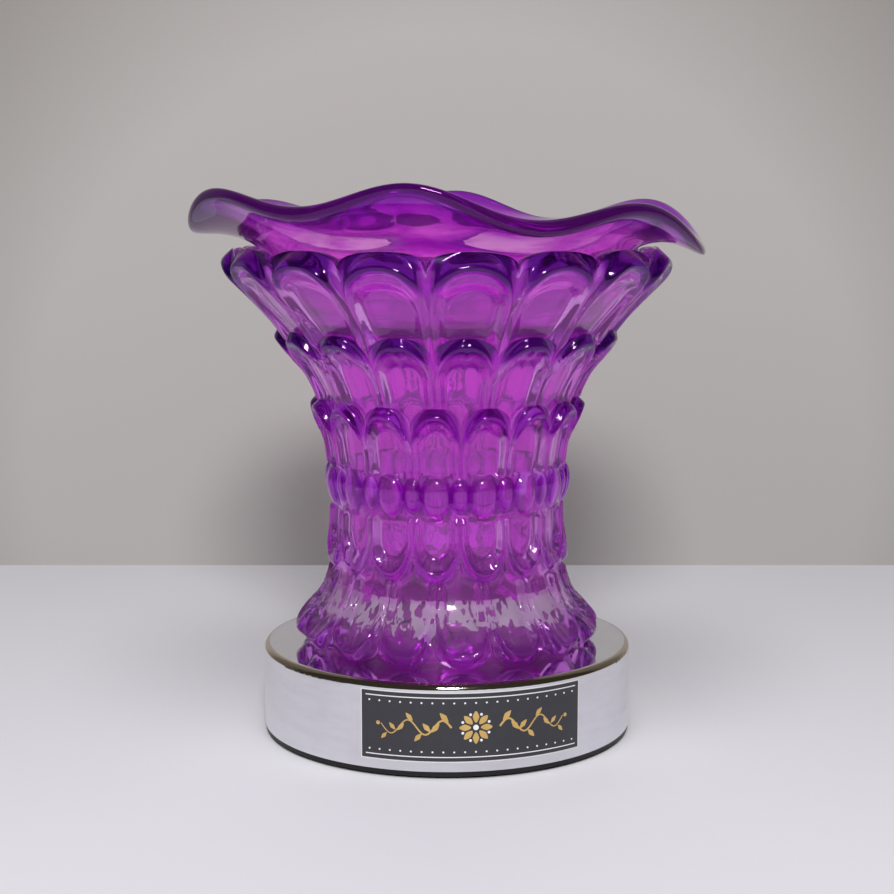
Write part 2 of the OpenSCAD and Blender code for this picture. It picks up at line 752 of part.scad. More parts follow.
// A lead as a tube along a curve that leaves a along u and comes into b along v
function curve(a, u, v, b, t) =
    pow(1 - t, 3) * a + 3 * pow(1 - t, 2) * t * (a + u) + 3 * (1 - t) * t * t * (b + v) + t * t * t * b;
function lead_ring(p, d, r) =
    let(f = d / norm(d), s = cross(f, wire_side), x = s / norm(s), y = cross(f, x))
    [for (k = [0 : wire_sides - 1])
        let(turn = 360 * k / wire_sides) p + r * (x * cos(turn) + y * sin(turn))];
module lead(a, u, v, b) {
    function at(t) = curve(a, u, v, b, t);
    step = 1 / wire_steps;
    capped_rings([for (k = [0 : wire_steps])
        let(d = k == 0 ? u : k == wire_steps ? -v : at((k + 1) * step) - at((k - 1) * step))
        lead_ring(at(k * step), -d, wire_r)]);
}

module touch_lead() {
    start = [top_screw_at, barrel_y, terminal_z + terminal_t - barrel_r];
    pad = on_board(touch_pad_shares);
    color("orange") lead(start, [0, board_lift, 0], [0, 0, board_lift], pad);
}

module lamp_leads() {
    start_z = holder_bottom + holder_h / 2;
    color("white") for (side = [-1, 1]) {
        start = [side * lead_pitch / 2, holder_w / 2, start_z];
        pad = on_board(pad_shares) + [side * lead_pitch / 2, 0, 0];
        lead(start, [0, lead_out, 0], [0, 0, lead_up], pad);
    }
}

module bulb_base() {
    color("whitesmoke") translate([0, 0, lamp_seat]) {
        cylinder(r = bulb_foot_r, h = bulb_foot_h);
        translate([0, 0, bulb_foot_h])
            cylinder(r1 = bulb_foot_r, r2 = bulb_neck_r, h = bulb_neck_h - bulb_foot_h);
    }
}

module bulb_pins() {
    color("silver") for (side = [0, 180]) rotate(side) translate([pin_at, 0, pin_end_z]) {
        cylinder(r = pin_neck_r, h = pin_len);
        cylinder(r = pin_head_r, h = pin_head_h);
    }
}

// Half-section of the reflector: a parabola from the neck to the rim
reflector_steps = 8;
function bowl_r(t) = bulb_neck_r + (bulb_r - bulb_neck_r) * sqrt(t);
module bulb_reflector() {
    bowl_h = bulb_rim_z - bulb_neck_z;
    bowl = [for (k = [0 : reflector_steps])
        let(t = pow(k / reflector_steps, 2)) [bowl_r(t), bulb_neck_z + bowl_h * t]];
    outer = concat(bowl, [[bulb_r, bulb_top]]);
    color("lightgray") rotate_extrude() polygon(concat(
        outer, [for (k = [len(outer) - 1 : -1 : 0]) outer[k] - [bulb_glass_t, 0]]));
}

module bulb_front_glass() {
    color([0.85, 0.9, 0.95, 0.5]) translate([0, 0, bulb_top - front_in - front_t])
        cylinder(r = bulb_r - bulb_glass_t - front_fit, h = front_t);
}

module bulb_capsule() {
    inner = capsule_r - capsule_wall;
    color([0.9, 0.95, 1, 0.4]) translate([0, 0, bulb_neck_z]) rotate_extrude() difference() {
        union() {
            square([capsule_r, capsule_h - capsule_r]);
            intersection() {
                translate([0, capsule_h - capsule_r]) circle(capsule_r);
                translate([0, capsule_h - capsule_r]) square(capsule_r);
            }
        }
        translate([0, capsule_stem]) square([inner, capsule_h - capsule_r - capsule_stem]);
        intersection() {
            translate([0, capsule_h - capsule_r]) circle(inner);
            translate([0, capsule_h - capsule_r - cut]) square([inner, inner + cut]);
        }
    }
}

module bulb_filament() {
    lead_at = capsule_r / 3;
    low = bulb_neck_z + capsule_stem;
    color("goldenrod") {
        for (side = [-1, 1]) translate([side * lead_at, 0, low])
            cylinder(r = filament_lead_r, h = filament_gap + filament_r);
        translate([-lead_at, 0, low + filament_gap]) rotate([0, 90, 0])
            cylinder(r = filament_r, h = 2 * lead_at);
    }
}

base_housing();
bottom_cover();
rubber_feet();
cover_posts();
cover_screws();
cord_grommet();
shade_ring();
top_screws();
top_nuts();
lampholder_body();
lampholder_contacts();
lampholder_bracket();
holder_screws();
holder_nuts();
touch_board();
board_screws();
touch_chip();
triac();
film_capacitor();
smoothing_capacitor();
resistors();
zener_diode();
terminal_block();
touch_terminal();
touch_lead();
lamp_leads();
bulb_base();
bulb_pins();
bulb_reflector();
bulb_front_glass();
bulb_capsule();
bulb_filament();
shade_lower();
shade_upper();
dish();
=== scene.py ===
# %% [markdown]
# # A touch lamp warmer
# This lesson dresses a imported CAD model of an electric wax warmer: a chrome touch base, a pressed glass
# shade in the shape of petals, and a wavy glass dish. The model is already at its real size, in metres,
# with +Z up and its front towards -Y, so every new piece is made straight at its place.

# %% Load the frame and measure it
import json
import math

import bmesh
import bpy
import numpy as np
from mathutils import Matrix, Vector


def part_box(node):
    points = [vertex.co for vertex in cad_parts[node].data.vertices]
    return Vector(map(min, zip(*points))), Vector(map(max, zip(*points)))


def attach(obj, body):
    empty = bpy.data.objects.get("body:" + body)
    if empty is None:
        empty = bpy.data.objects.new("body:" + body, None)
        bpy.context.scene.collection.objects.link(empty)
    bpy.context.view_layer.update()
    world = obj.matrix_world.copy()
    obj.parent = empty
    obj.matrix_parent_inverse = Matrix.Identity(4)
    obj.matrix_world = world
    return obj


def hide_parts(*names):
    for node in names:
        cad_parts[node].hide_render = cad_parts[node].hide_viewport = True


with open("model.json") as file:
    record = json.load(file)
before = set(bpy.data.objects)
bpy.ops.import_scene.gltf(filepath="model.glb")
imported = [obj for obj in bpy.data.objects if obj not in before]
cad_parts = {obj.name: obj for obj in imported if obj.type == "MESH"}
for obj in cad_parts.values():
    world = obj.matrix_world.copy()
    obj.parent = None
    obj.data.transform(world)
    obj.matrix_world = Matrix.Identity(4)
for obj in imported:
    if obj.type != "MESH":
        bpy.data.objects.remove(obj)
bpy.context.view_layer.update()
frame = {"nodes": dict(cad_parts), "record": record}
nodes = frame["nodes"]
MM = 0.001

# %% [markdown]
# ## The camera
# The photograph was taken from just above the petals' height, with the camera tipped a little down. The
# place and the tip below come from fitting the ellipses of the chrome base and the outline of the shade.

# %% Camera
CAMERA_PLACE = (0, -0.540, 0.1619)
CAMERA_TIP_DEG = 7.752
CAMERA_LENS_MM = 70.3
CAMERA_SENSOR_MM = 36
NEAREST_SEEN = 0.01


def add_camera():
    """The camera of the photograph, looking along +Y and a little down."""
    data = bpy.data.cameras.new("camera")
    data.lens = CAMERA_LENS_MM
    data.sensor_width = CAMERA_SENSOR_MM
    data.clip_start = NEAREST_SEEN
    camera = bpy.data.objects.new("camera", data)
    camera.location = CAMERA_PLACE
    camera.rotation_euler = (math.radians(90 - CAMERA_TIP_DEG), 0, 0)
    bpy.context.scene.collection.objects.link(camera)
    bpy.context.scene.camera = camera


add_camera()
bpy.context.scene.view_settings.view_transform = "Standard"
print("Camera at", CAMERA_PLACE, "lens", CAMERA_LENS_MM, "mm")

# %% [markdown]
# ## Small helpers for modelling
# Every operator acts on what is selected, and loading the frame leaves its nodes selected. So each piece
# starts with nothing selected. A piece is finished by putting its place into its mesh, which leaves the
# object itself at the origin, as a CAD node is. Then it gets its finish and the body it rides on.

# %% Helpers for pieces


def select_only(*objects):
    """Leaves edit mode and selects these objects, the first one active."""
    if bpy.context.object and bpy.context.object.mode != "OBJECT":
        bpy.ops.object.mode_set(mode="OBJECT")
    bpy.ops.object.select_all(action="DESELECT")
    for item in objects:
        item.select_set(True)
    bpy.context.view_layer.objects.active = objects[0] if objects else None


def named(name):
    """The object that an operator has just made, with a name for it and its mesh."""
    piece = bpy.context.object
    piece.name = name
    piece.data.name = name
    return piece


def apply_place():
    """Puts the place, turn and scale of what is selected into its mesh."""
    bpy.ops.object.transform_apply(location=True, rotation=True, scale=True)


def settle(piece, smooth_deg):
    """Puts the piece's place into its mesh, and shades it smooth up to an angle."""
    select_only(piece)
    apply_place()
    bpy.ops.object.shade_smooth_by_angle(angle=math.radians(smooth_deg))
    print(piece.name, "has", len(piece.data.polygons), "faces")


def dress(piece, slot, body, *replaced):
    """Gives a piece its finish and the body it rides on, and hides the CAD nodes it stands for."""
    piece.data.materials.clear()
    piece.data.materials.append(finish_of(slot))
    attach(piece, body)
    if replaced:
        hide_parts(*replaced)


print("Helpers for pieces: select_only, named, settle, dress")

# %% [markdown]
# ## Finishes
# A finish is a small node tree round one Principled shader. It could be drawn by hand in the node editor.
# In a script it is shorter to have helpers for what comes back often. What is the same all over a surface
# is set on the shader's own sockets, and only what varies gets nodes.

# %% A new finish
FINISHES = {}


def new_finish(name):
    """The tree and the Principled shader of a new material."""
    FINISHES[name] = bpy.data.materials.new(name)
    FINISHES[name].use_nodes = True
    tree = FINISHES[name].node_tree
    tree.nodes.clear()
    shader = tree.nodes.new("ShaderNodeBsdfPrincipled")
    output = tree.nodes.new("ShaderNodeOutputMaterial")
    tree.links.new(shader.outputs["BSDF"], output.inputs["Surface"])
    return tree, shader


def finish_of(slot):
    """The material that stands for a slot of the record."""
    return FINISHES[slot]


def output_of(tree):
    """The tree's output node."""
    return next(node for node in tree.nodes if node.type == "OUTPUT_MATERIAL")


def set_sockets(node, **values):
    """Sets a node's own inputs to fixed values, an underscore standing for a space."""
    for key, value in values.items():
        node.inputs[key.replace("_", " ")].default_value = value
    return node


def add_node(tree, kind, **values):
    """A node with some of its inputs set."""
    return set_sockets(tree.nodes.new(kind), **values)


print("Helpers for trees: new_finish, set_sockets, add_node")

# %% [markdown]
# A pattern is read at the piece's own coordinates, in metres, so it keeps its size on every piece. Scaling
# one coordinate squeezes or draws out the grain, as in wiping marks. A ramp then turns the noise into a
# colour or a roughness, and a bump turns it into fine relief.

# %% Patterns


def object_coords(tree, scale=(1, 1, 1)):
    """The piece's own coordinates in metres, stretched by a Mapping node."""
    place = tree.nodes.new("ShaderNodeTexCoord")
    mapping = add_node(tree, "ShaderNodeMapping", Scale=scale)
    tree.links.new(place.outputs["Object"], mapping.inputs["Vector"])
    return mapping.outputs["Vector"]


def noise(tree, scale, detail=3, rough=0.5, stretch=(1, 1, 1)):
    """Noise whose grain is 1 / scale metres."""
    node = add_node(tree, "ShaderNodeTexNoise", Scale=scale, Detail=detail, Roughness=rough)
    tree.links.new(object_coords(tree, stretch), node.inputs["Vector"])
    return node.outputs["Fac"]


def ramp(tree, source, stops):
    """A colour ramp over a value: stops are (position, colour or grey)."""
    node = tree.nodes.new("ShaderNodeValToRGB")
    tree.links.new(source, node.inputs["Fac"])
    elements = node.color_ramp.elements
    while len(elements) < len(stops):
        elements.new(0.5)
    for element, (position, colour) in zip(elements, stops):
        element.position = position
        grey = isinstance(colour, (int, float))
        element.color = (colour, colour, colour, 1) if grey else (*colour, 1)
    return node.outputs["Color"]


def bump(tree, shader, height, distance, strength=1.0):
    """Small relief on the shader's normal; distance is its depth in metres."""
    node = add_node(tree, "ShaderNodeBump", Strength=strength, Distance=distance)
    tree.links.new(height, node.inputs["Height"])
    tree.links.new(node.outputs["Normal"], shader.inputs["Normal"])


print("Helpers for patterns: noise, ramp, bump")

# %% [markdown]
# Patterns are joined by mixing colours and by plain sums. Both helpers take a socket or a fixed value, so
# that a tree reads like a formula. The height above the table is a pattern too: it places a line or an edge
# that runs all round a piece.

# %% Mixing and sums


def mixed(tree, factor, first, second):
    """A colour between two others. Each may be a socket or a plain colour."""
    node = tree.nodes.new("ShaderNodeMix")
    node.data_type = "RGBA"
    tree.links.new(factor, node.inputs["Factor"])
    for socket, value in ((node.inputs["A"], first), (node.inputs["B"], second)):
        if isinstance(value, bpy.types.NodeSocket):
            tree.links.new(value, socket)
        else:
            socket.default_value = (*value, 1)
    return node.outputs["Result"]


def maths(tree, operation, first, second=0.0):
    """One sum on sockets or numbers."""
    node = tree.nodes.new("ShaderNodeMath")
    node.operation = operation
    for socket, value in zip(node.inputs, (first, second)):
        if isinstance(value, bpy.types.NodeSocket):
            tree.links.new(value, socket)
        else:
            socket.default_value = value
    return node.outputs["Value"]


def height_of(tree):
    """The height above the table of the shaded point, in metres."""
    place = tree.nodes.new("ShaderNodeTexCoord")
    split = tree.nodes.new("ShaderNodeSeparateXYZ")
    tree.links.new(place.outputs["Object"], split.inputs["Vector"])
    return split.outputs["Z"]


print("Helpers for sums: mixed, maths, height_of")

# %% [markdown]
# Nearly every solid surface has a colour that wanders a little, a roughness that wanders with it, and a
# fine grain. So one function makes the tree for all of them, and each finish gets numbers of its own.

# %% A plain solid finish
PATCH_GRAINS = 8


def surface(name, dark, light, rough, metallic=0.0, grain=400, depth=0.00002, **extra):
    """A solid finish: colour between dark and light, roughness between two values, and fine relief."""
    tree, shader = new_finish(name)
    patches = noise(tree, grain / PATCH_GRAINS, 4, 0.6)
    tree.links.new(mixed(tree, patches, dark, light), shader.inputs["Base Color"])
    tree.links.new(ramp(tree, patches, [(0.3, rough[0]), (0.7, rough[1])]), shader.inputs["Roughness"])
    set_sockets(shader, Metallic=metallic, **extra)
    bump(tree, shader, noise(tree, grain, 3, 0.5), depth)


print("Helper for solid finishes: surface")

# %% [markdown]
# ## The studio
# The lamp stands on a pale table with a warm grey wall behind it. The table is a large plane whose colour
# is a little cloudy. It is dull, so that it shows the lamp's shadow but no reflection of it.

# %% Table
TABLE_COLOUR = (0.78, 0.77, 0.82)
STUDIO_SIZE = 6


def add_table():
    """A large plane just under the feet."""
    select_only()
    bpy.ops.mesh.primitive_plane_add(size=STUDIO_SIZE, location=(0, 0, 0))
    table = named("studio_table")
    tree, shader = new_finish("studio_table")
    cloud = noise(tree, 3, 3, 0.6)
    pale = tuple(c * 1.03 for c in TABLE_COLOUR)
    tree.links.new(mixed(tree, cloud, TABLE_COLOUR, pale), shader.inputs["Base Color"])
    set_sockets(shader, Roughness=0.75, Specular_IOR_Level=0.15)
    table.data.materials.append(finish_of("studio_table"))


add_table()
print("Table", STUDIO_SIZE, "m wide")

# %% [markdown]
# The mirror top of the base shows the wall, and its chrome side shows the table. The wall is there only for
# the camera, for mirrors and for what the glass lets through, and not from behind, so it never stands in
# the light. Its colour is painted darker towards its corners, as painted shade, and painted paler where it
# is seen through the glass, as painted light.

# %% Wall
WALL_Y = 0.247
WALL_COLOUR = (0.43, 0.412, 0.400)
# Painted shade: the wall's colour darkens towards its corners. Painted light: it is paler seen through
# glass.
WALL_PAINTED_SHADE_COLOUR = (0.20, 0.182, 0.165)
WALL_PAINTED_LIGHT_THROUGH_GLASS = (0.64, 0.61, 0.60)
WALL_PAINTED_LIGHT_CENTRE = (0, -2.95, 0)
WALL_PAINTED_SHADE_FADE = [(0.19, 0.0), (0.34, 1.0)]


def add_wall():
    """A wall seen from its front only, by the camera, in mirrors and through glass."""
    select_only()
    bpy.ops.mesh.primitive_plane_add(size=STUDIO_SIZE, location=(0, WALL_Y, STUDIO_SIZE / 2),
                                     rotation=(math.pi / 2, 0, 0))
    wall = named("studio_wall")
    tree, shader = new_finish("studio_wall")
    cloud = noise(tree, 2, 3, 0.6)
    warm = tuple(c * 1.05 for c in WALL_COLOUR)
    plain = mixed(tree, cloud, WALL_COLOUR, warm)
    place = tree.nodes.new("ShaderNodeTexCoord")
    away = tree.nodes.new("ShaderNodeVectorMath")
    away.operation = "DISTANCE"
    away.inputs[1].default_value = WALL_PAINTED_LIGHT_CENTRE
    tree.links.new(place.outputs["Object"], away.inputs[0])
    # Painted shade: darker away from the painted light's centre.
    far = ramp(tree, away.outputs["Value"], WALL_PAINTED_SHADE_FADE)
    path = tree.nodes.new("ShaderNodeLightPath")
    seen_with_painted_shade = mixed(tree, far, plain, WALL_PAINTED_SHADE_COLOUR)
    # Painted light: the wall is paler where the glass shows it.
    through = mixed(tree, path.outputs["Is Transmission Ray"], seen_with_painted_shade, WALL_PAINTED_LIGHT_THROUGH_GLASS)
    tree.links.new(through, shader.inputs["Base Color"])
    set_sockets(shader, Roughness=0.9, Specular_IOR_Level=0.1)
    side = tree.nodes.new("ShaderNodeNewGeometry")
    clear = tree.nodes.new("ShaderNodeBsdfTransparent")
    blend = tree.nodes.new("ShaderNodeMixShader")
    seen = maths(tree, "MAXIMUM", path.outputs["Is Camera Ray"], path.outputs["Is Glossy Ray"])
    seen = maths(tree, "MAXIMUM", seen, path.outputs["Is Transmission Ray"])
    front = maths(tree, "SUBTRACT", 1.0, side.outputs["Backfacing"])
    tree.links.new(maths(tree, "MULTIPLY", seen, front), blend.inputs["Fac"])
    tree.links.new(clear.outputs["BSDF"], blend.inputs[1])
    tree.links.new(shader.outputs["BSDF"], blend.inputs[2])
    tree.links.new(blend.outputs["Shader"], output_of(tree).inputs["Surface"])
    wall.data.materials.append(finish_of("studio_wall"))


add_wall()
print("Wall at", WALL_Y, "m")

# %% [markdown]
# Four soft rectangular lamps light the object. The key lamp is above and behind the camera, and it is the
# only one that mirrors and glass may show: it makes the small bright spots on the petals. The others fill
# from the left, from above and from behind, and would only clutter the reflections. The room is dim, so
# that the glass keeps its deep colour.

# %% Lamps and room
LAMPS_AIM = (0, 0, 0.09)
ROOM_LEVEL = 0.05


def add_softbox(name, place, size, power, mirrored=False):
    """A rectangular lamp that looks at the object. It may be left out of what mirrors and glass show."""
    data = bpy.data.lights.new(name, "AREA")
    data.shape = "RECTANGLE"
    data.size, data.size_y = size
    data.energy = power
    lamp = bpy.data.objects.new(name, data)
    lamp.location = place
    lamp.rotation_euler = (Vector(LAMPS_AIM) - Vector(place)).to_track_quat("-Z", "Y").to_euler()
    lamp.visible_glossy = mirrored
    lamp.visible_transmission = mirrored
    bpy.context.scene.collection.objects.link(lamp)


def add_world(level):
    """A dim plain room all round, a little warm."""
    world = bpy.data.worlds.new("studio")
    world.use_nodes = True
    warm = (1.1 * level, level, 0.85 * level, 1)
    set_sockets(world.node_tree.nodes["Background"], Color=warm, Strength=1.0)
    bpy.context.scene.world = world


add_softbox("lamp_key", (0.03, -1.36, 0.94), (0.32, 0.224), 17.9, mirrored=True)
add_softbox("lamp_left", (-0.55, -0.70, 0.50), (0.4, 0.4), 0.6)
add_softbox("lamp_above", (0.0, -0.50, 1.05), (0.60, 0.50), 5.1)
add_softbox("lamp_behind", (0.0, 1.1, 0.9), (0.8, 0.4), 2.2)
add_world(ROOM_LEVEL)
print("Lamps:", [light.name for light in bpy.data.lights])

# %% [markdown]
# ## Chrome, plastic, rubber and the hidden metals
# Chrome plate is a nearly perfect mirror. What makes it read as a real base is what is on it: faint
# wiping marks and finger smudges that dull it in patches, and a brassy tint on the band of its rounded
# edge. That line goes all the way round, so the height above the table picks it out.

# %% Chrome
EDGE_LOW_Z, EDGE_HIGH_Z = 0.0263, 0.02796
EDGE_BRASS = (0.42, 0.34, 0.20)
EDGE_BRASS_SHARE = 0.75


def make_chrome():
    """Polished plate with wiping marks and smudges."""
    tree, shader = new_finish("chrome")
    set_sockets(shader, Metallic=1.0)
    smudge = noise(tree, 45, 5, 0.65)
    wiped = noise(tree, 60, 3, 0.6, (1, 1, 6))
    marks = maths(tree, "MULTIPLY", smudge, wiped)
    shade = ramp(tree, marks, [(0.15, (0.78, 0.78, 0.81)), (0.45, (0.68, 0.68, 0.72))])
    edge_from = maths(tree, "GREATER_THAN", height_of(tree), EDGE_LOW_Z)
    edge_to = maths(tree, "LESS_THAN", height_of(tree), EDGE_HIGH_Z)
    brass_edge = maths(tree, "MULTIPLY", maths(tree, "MULTIPLY", edge_from, edge_to), EDGE_BRASS_SHARE)
    tree.links.new(mixed(tree, brass_edge, shade, EDGE_BRASS), shader.inputs["Base Color"])
    dull = ramp(tree, marks, [(0.18, 0.035), (0.32, 0.10), (0.5, 0.22)])
    tree.links.new(dull, shader.inputs["Roughness"])
    bump(tree, shader, noise(tree, 90, 2, 0.5), 0.00003, 0.3)


make_chrome()
print("Chrome made")

# %% [markdown]
# The other solids are the black cover below the chrome, and what stands inside the base and the shade. The
# numbers are a dark and a light colour, the roughness from smooth to dull, how metallic it is, and how many
# grains go in a metre.

# %% Solid finishes
surface("black_plastic", (0.008, 0.008, 0.009), (0.014, 0.014, 0.016), (0.35, 0.5), grain=900,
        Specular_IOR_Level=0.25)
surface("rubber", (0.02, 0.02, 0.02), (0.045, 0.045, 0.045), (0.7, 0.85), grain=1500)
surface("steel", (0.50, 0.50, 0.52), (0.66, 0.66, 0.68), (0.22, 0.4), 1.0, 700)
surface("dark_steel", (0.04, 0.04, 0.042), (0.09, 0.09, 0.09), (0.35, 0.5), 1.0, 900)
surface("ceramic", (0.78, 0.75, 0.68), (0.88, 0.86, 0.80), (0.55, 0.75), grain=1200)
surface("brass", (0.66, 0.47, 0.20), (0.80, 0.62, 0.32), (0.2, 0.4), 1.0, 800)
surface("board", (0.01, 0.14, 0.05), (0.03, 0.22, 0.09), (0.25, 0.4), grain=1600)
surface("black_part", (0.02, 0.02, 0.022), (0.05, 0.05, 0.052), (0.45, 0.6), grain=2500)
surface("red_part", (0.42, 0.05, 0.03), (0.58, 0.09, 0.06), (0.15, 0.3), grain=600)
surface("blue_part", (0.03, 0.05, 0.22), (0.06, 0.10, 0.34), (0.15, 0.3), grain=600)
surface("tan_part", (0.60, 0.44, 0.26), (0.72, 0.57, 0.38), (0.2, 0.35), grain=900)
surface("orange_glass", (0.70, 0.20, 0.05), (0.85, 0.36, 0.12), (0.06, 0.15), grain=900)
surface("green_plastic", (0.05, 0.34, 0.16), (0.10, 0.46, 0.24), (0.25, 0.4), grain=900)
surface("orange_wire", (0.75, 0.30, 0.03), (0.88, 0.42, 0.06), (0.3, 0.45), grain=900)
surface("white_wire", (0.76, 0.76, 0.72), (0.88, 0.88, 0.85), (0.7, 0.9), grain=4000, depth=0.00008)
surface("white_ceramic", (0.84, 0.84, 0.81), (0.92, 0.92, 0.90), (0.08, 0.2), grain=500)
surface("tungsten", (0.35, 0.33, 0.31), (0.5, 0.48, 0.45), (0.3, 0.45), 1.0, 6000, depth=0.00006)
print("Solid finishes:", len(FINISHES))

# %% [markdown]
# ## The lamp's glass and mirror
# Plain glass needs a Transmission Weight of 1 and an index of refraction. Its roughness is never quite 0,
# because moulded glass isn't optically flat. The reflector is metal laid on dimpled glass: cells of a
# Voronoi pattern, used as relief, give it its facets.

# %% Clear glass and mirror coat


def make_clear_glass():
    """The lamp's capsule and front glass."""
    tree, shader = new_finish("clear_glass")
    tint = noise(tree, 300, 2)
    clear = mixed(tree, tint, (0.95, 0.97, 0.98), (0.99, 0.99, 1.0))
    tree.links.new(clear, shader.inputs["Base Color"])
    set_sockets(shader, Transmission_Weight=1.0, IOR=1.47, Roughness=0.02)
    bump(tree, shader, noise(tree, 400, 2), 0.00002, 0.3)


def make_mirror_coat():
    """The lamp's reflector: vacuum metal on dimpled glass."""
    tree, shader = new_finish("reflector")
    set_sockets(shader, Metallic=1.0, Roughness=0.12)
    metal = mixed(tree, noise(tree, 200, 3), (0.78, 0.78, 0.80), (0.88, 0.88, 0.90))
    tree.links.new(metal, shader.inputs["Base Color"])
    dimples = add_node(tree, "ShaderNodeTexVoronoi", Scale=350)
    tree.links.new(object_coords(tree), dimples.inputs["Vector"])
    bump(tree, shader, dimples.outputs["Distance"], 0.0004, 0.5)


make_clear_glass()
make_mirror_coat()
print("Clear glass and mirror coat made")

# %% [markdown]
# ## Purple glass
# The shade is clear pressed glass with a purple coat sprayed inside it. The coat stops short of the foot
# with a ragged edge, so that a milky bare band shows there, with tongues and drips of purple in it. The
# glass wall has two faces, and an attribute of the mesh says which is which, how thick the wall is, and
# how much shade is painted on it. So one tree can leave the outside nearly clear but darken it with painted
# shade at the crowns, where the glass is also thicker, and coat the inside.
# Reflections are tinted too, because light that bounces inside a coated wall meets the coat again.

# %% Helpers for tinted glass
COAT_TINT = (1.0, 0.4, 1.0, 1.0)
GLASS_IOR = 1.5
POLISH = 0.01


def absorb(tree, colour, density):
    """Glass that swallows light along its way, so that thick parts are darker."""
    volume = add_node(tree, "ShaderNodeVolumeAbsorption", Color=(*colour, 1), Density=density)
    tree.links.new(volume.outputs["Volume"], output_of(tree).inputs["Volume"])


def thickness(tree):
    """The thick attribute: painted shade and thickness, 0 on plain glass, 1 in the darkest lobes, -1
    inside.
    """
    thick = tree.nodes.new("ShaderNodeAttribute")
    thick.attribute_name = "thick"
    return thick.outputs["Fac"]


def by_thickness_and_shade(tree, thin, middle, full):
    """Colour by the painted shade and thickness of the glass."""
    lower = ramp(tree, thickness(tree), [(0.0, 0.0), (0.5, 1.0)])
    upper = ramp(tree, thickness(tree), [(0.5, 0.0), (1.0, 1.0)])
    return mixed(tree, upper, mixed(tree, lower, thin, middle), full)


def above(tree, level, wander, soft, swing):
    """0 below a height and 1 above it, with an edge that wanders up and down by a swing."""
    ragged = maths(tree, "MULTIPLY", maths(tree, "SUBTRACT", wander, 0.5), swing)
    over = maths(tree, "SUBTRACT", maths(tree, "ADD", height_of(tree), ragged), level)
    step = maths(tree, "ADD", maths(tree, "DIVIDE", over, soft), 0.5)
    return ramp(tree, step, [(0.0, 0.0), (1.0, 1.0)])


print("Helpers for tinted glass: absorb, thickness, by_thickness_and_shade, above")

# %% [markdown]
# First comes a mask: 1 where the inner face is painted, and 0 where it is bare. The edge of the coat, the
# tongues that rise from the foot and the drips are each a noise that is stretched upwards. The mask then
# picks the colour and how much light goes through. A thin, slightly dull clear coat on top gives the bright
# spots on the crowns their soft glow.

# %% The shade's glass
PAINT_EDGE_Z, PAINT_EDGE_SWING = 0.0465, 0.002
FOOT_TINT_Z, FOOT_TINT_SWING = 0.0375, 0.016
PAINT_SOFT = 0.0005
PURPLE_FROM, PURPLE_TO = (0.93, 0.045, 0.98), (1.0, 0.08, 1.0)
CLEAR_GLASS = (0.98, 0.96, 0.99)
BARE_GLASS = (0.97, 0.93, 0.94)
OUTER_GLASS = (0.97, 0.60, 1.0)
# Painted shade: the outside darkens to these colours at the thicker crowns, the tips and the bead grooves.
THICK_SHADED_GLASS, CROWN_SHADED_GLASS = (0.50, 0.03, 0.78), (0.045, 0.001, 0.15)
OUTER_CLEARNESS = (0.96, 0.96, 0.96)
INNER_CLEARNESS = [(0.0, 0.12), (1.0, 0.80)]


def painted_mask(tree):
    """1 where the coat or the foot's tint is, and the same with the drips between them."""
    wander = noise(tree, 260, 4, 0.7, (1, 1, 0.3))
    coat = above(tree, PAINT_EDGE_Z, wander, PAINT_SOFT, PAINT_EDGE_SWING)
    tongues = noise(tree, 230, 1, 0.4, (1, 1, 0.12))
    foot = maths(tree, "SUBTRACT", 1.0, above(tree, FOOT_TINT_Z, tongues, PAINT_SOFT, FOOT_TINT_SWING))
    drips = ramp(tree, noise(tree, 480, 1, 0.5, (1, 1, 0.03)), [(0.53, 0.0), (0.57, 0.9)])
    painted = maths(tree, "MAXIMUM", coat, foot)
    return painted, maths(tree, "MAXIMUM", painted, drips)


def make_purple_glass():
    """Clear pressed glass, painted purple inside, with a bare ragged band near the foot."""
    tree, shader = new_finish("purple_glass")
    set_sockets(shader, IOR=GLASS_IOR, Roughness=POLISH, Specular_Tint=COAT_TINT)
    set_sockets(shader, Coat_Weight=0.2, Coat_Roughness=0.16)
    painted, tinted = painted_mask(tree)
    purple = mixed(tree, noise(tree, 70, 4, 0.6, (1, 1, 0.5)), PURPLE_FROM, PURPLE_TO)
    plain = mixed(tree, painted, CLEAR_GLASS, OUTER_GLASS)
    # Painted shade, read from the mesh, darkens the outside at the crowns, tips and bead grooves.
    outside = by_thickness_and_shade(tree, plain, THICK_SHADED_GLASS, CROWN_SHADED_GLASS)
    inside = mixed(tree, tinted, BARE_GLASS, purple)
    within = maths(tree, "LESS_THAN", thickness(tree), -0.5)
    tree.links.new(mixed(tree, within, outside, inside), shader.inputs["Base Color"])
    clear = mixed(tree, within, OUTER_CLEARNESS, ramp(tree, tinted, INNER_CLEARNESS))
    tree.links.new(clear, shader.inputs["Transmission Weight"])
    runs = maths(tree, "MULTIPLY", noise(tree, 420, 3, 0.55, (1, 1, 0.16)), within)
    uneven = maths(tree, "ADD", noise(tree, 120, 3, 0.5), runs)
    bump(tree, shader, uneven, 0.00012, 0.3)
    absorb(tree, (0.85, 0.30, 0.97), 60)


make_purple_glass()
print("The shade's glass made")

# %% [markdown]
# The dish is tinted on all its faces, and the colour lies in streaks that were drawn out round the bowl
# when the glass was shaped. Its thick rolled brim is the darkest part. Absorption in the volume does the
# rest: the longer the way through the glass, the deeper the purple.

# %% The dish's glass
STREAK_DARK, STREAK_PALE = (0.66, 0.10, 0.76), (1.0, 0.42, 1.0)
BRIM_EDGE_GLASS, BRIM_GLASS = (0.62, 0.08, 0.80), (0.32, 0.02, 0.56)


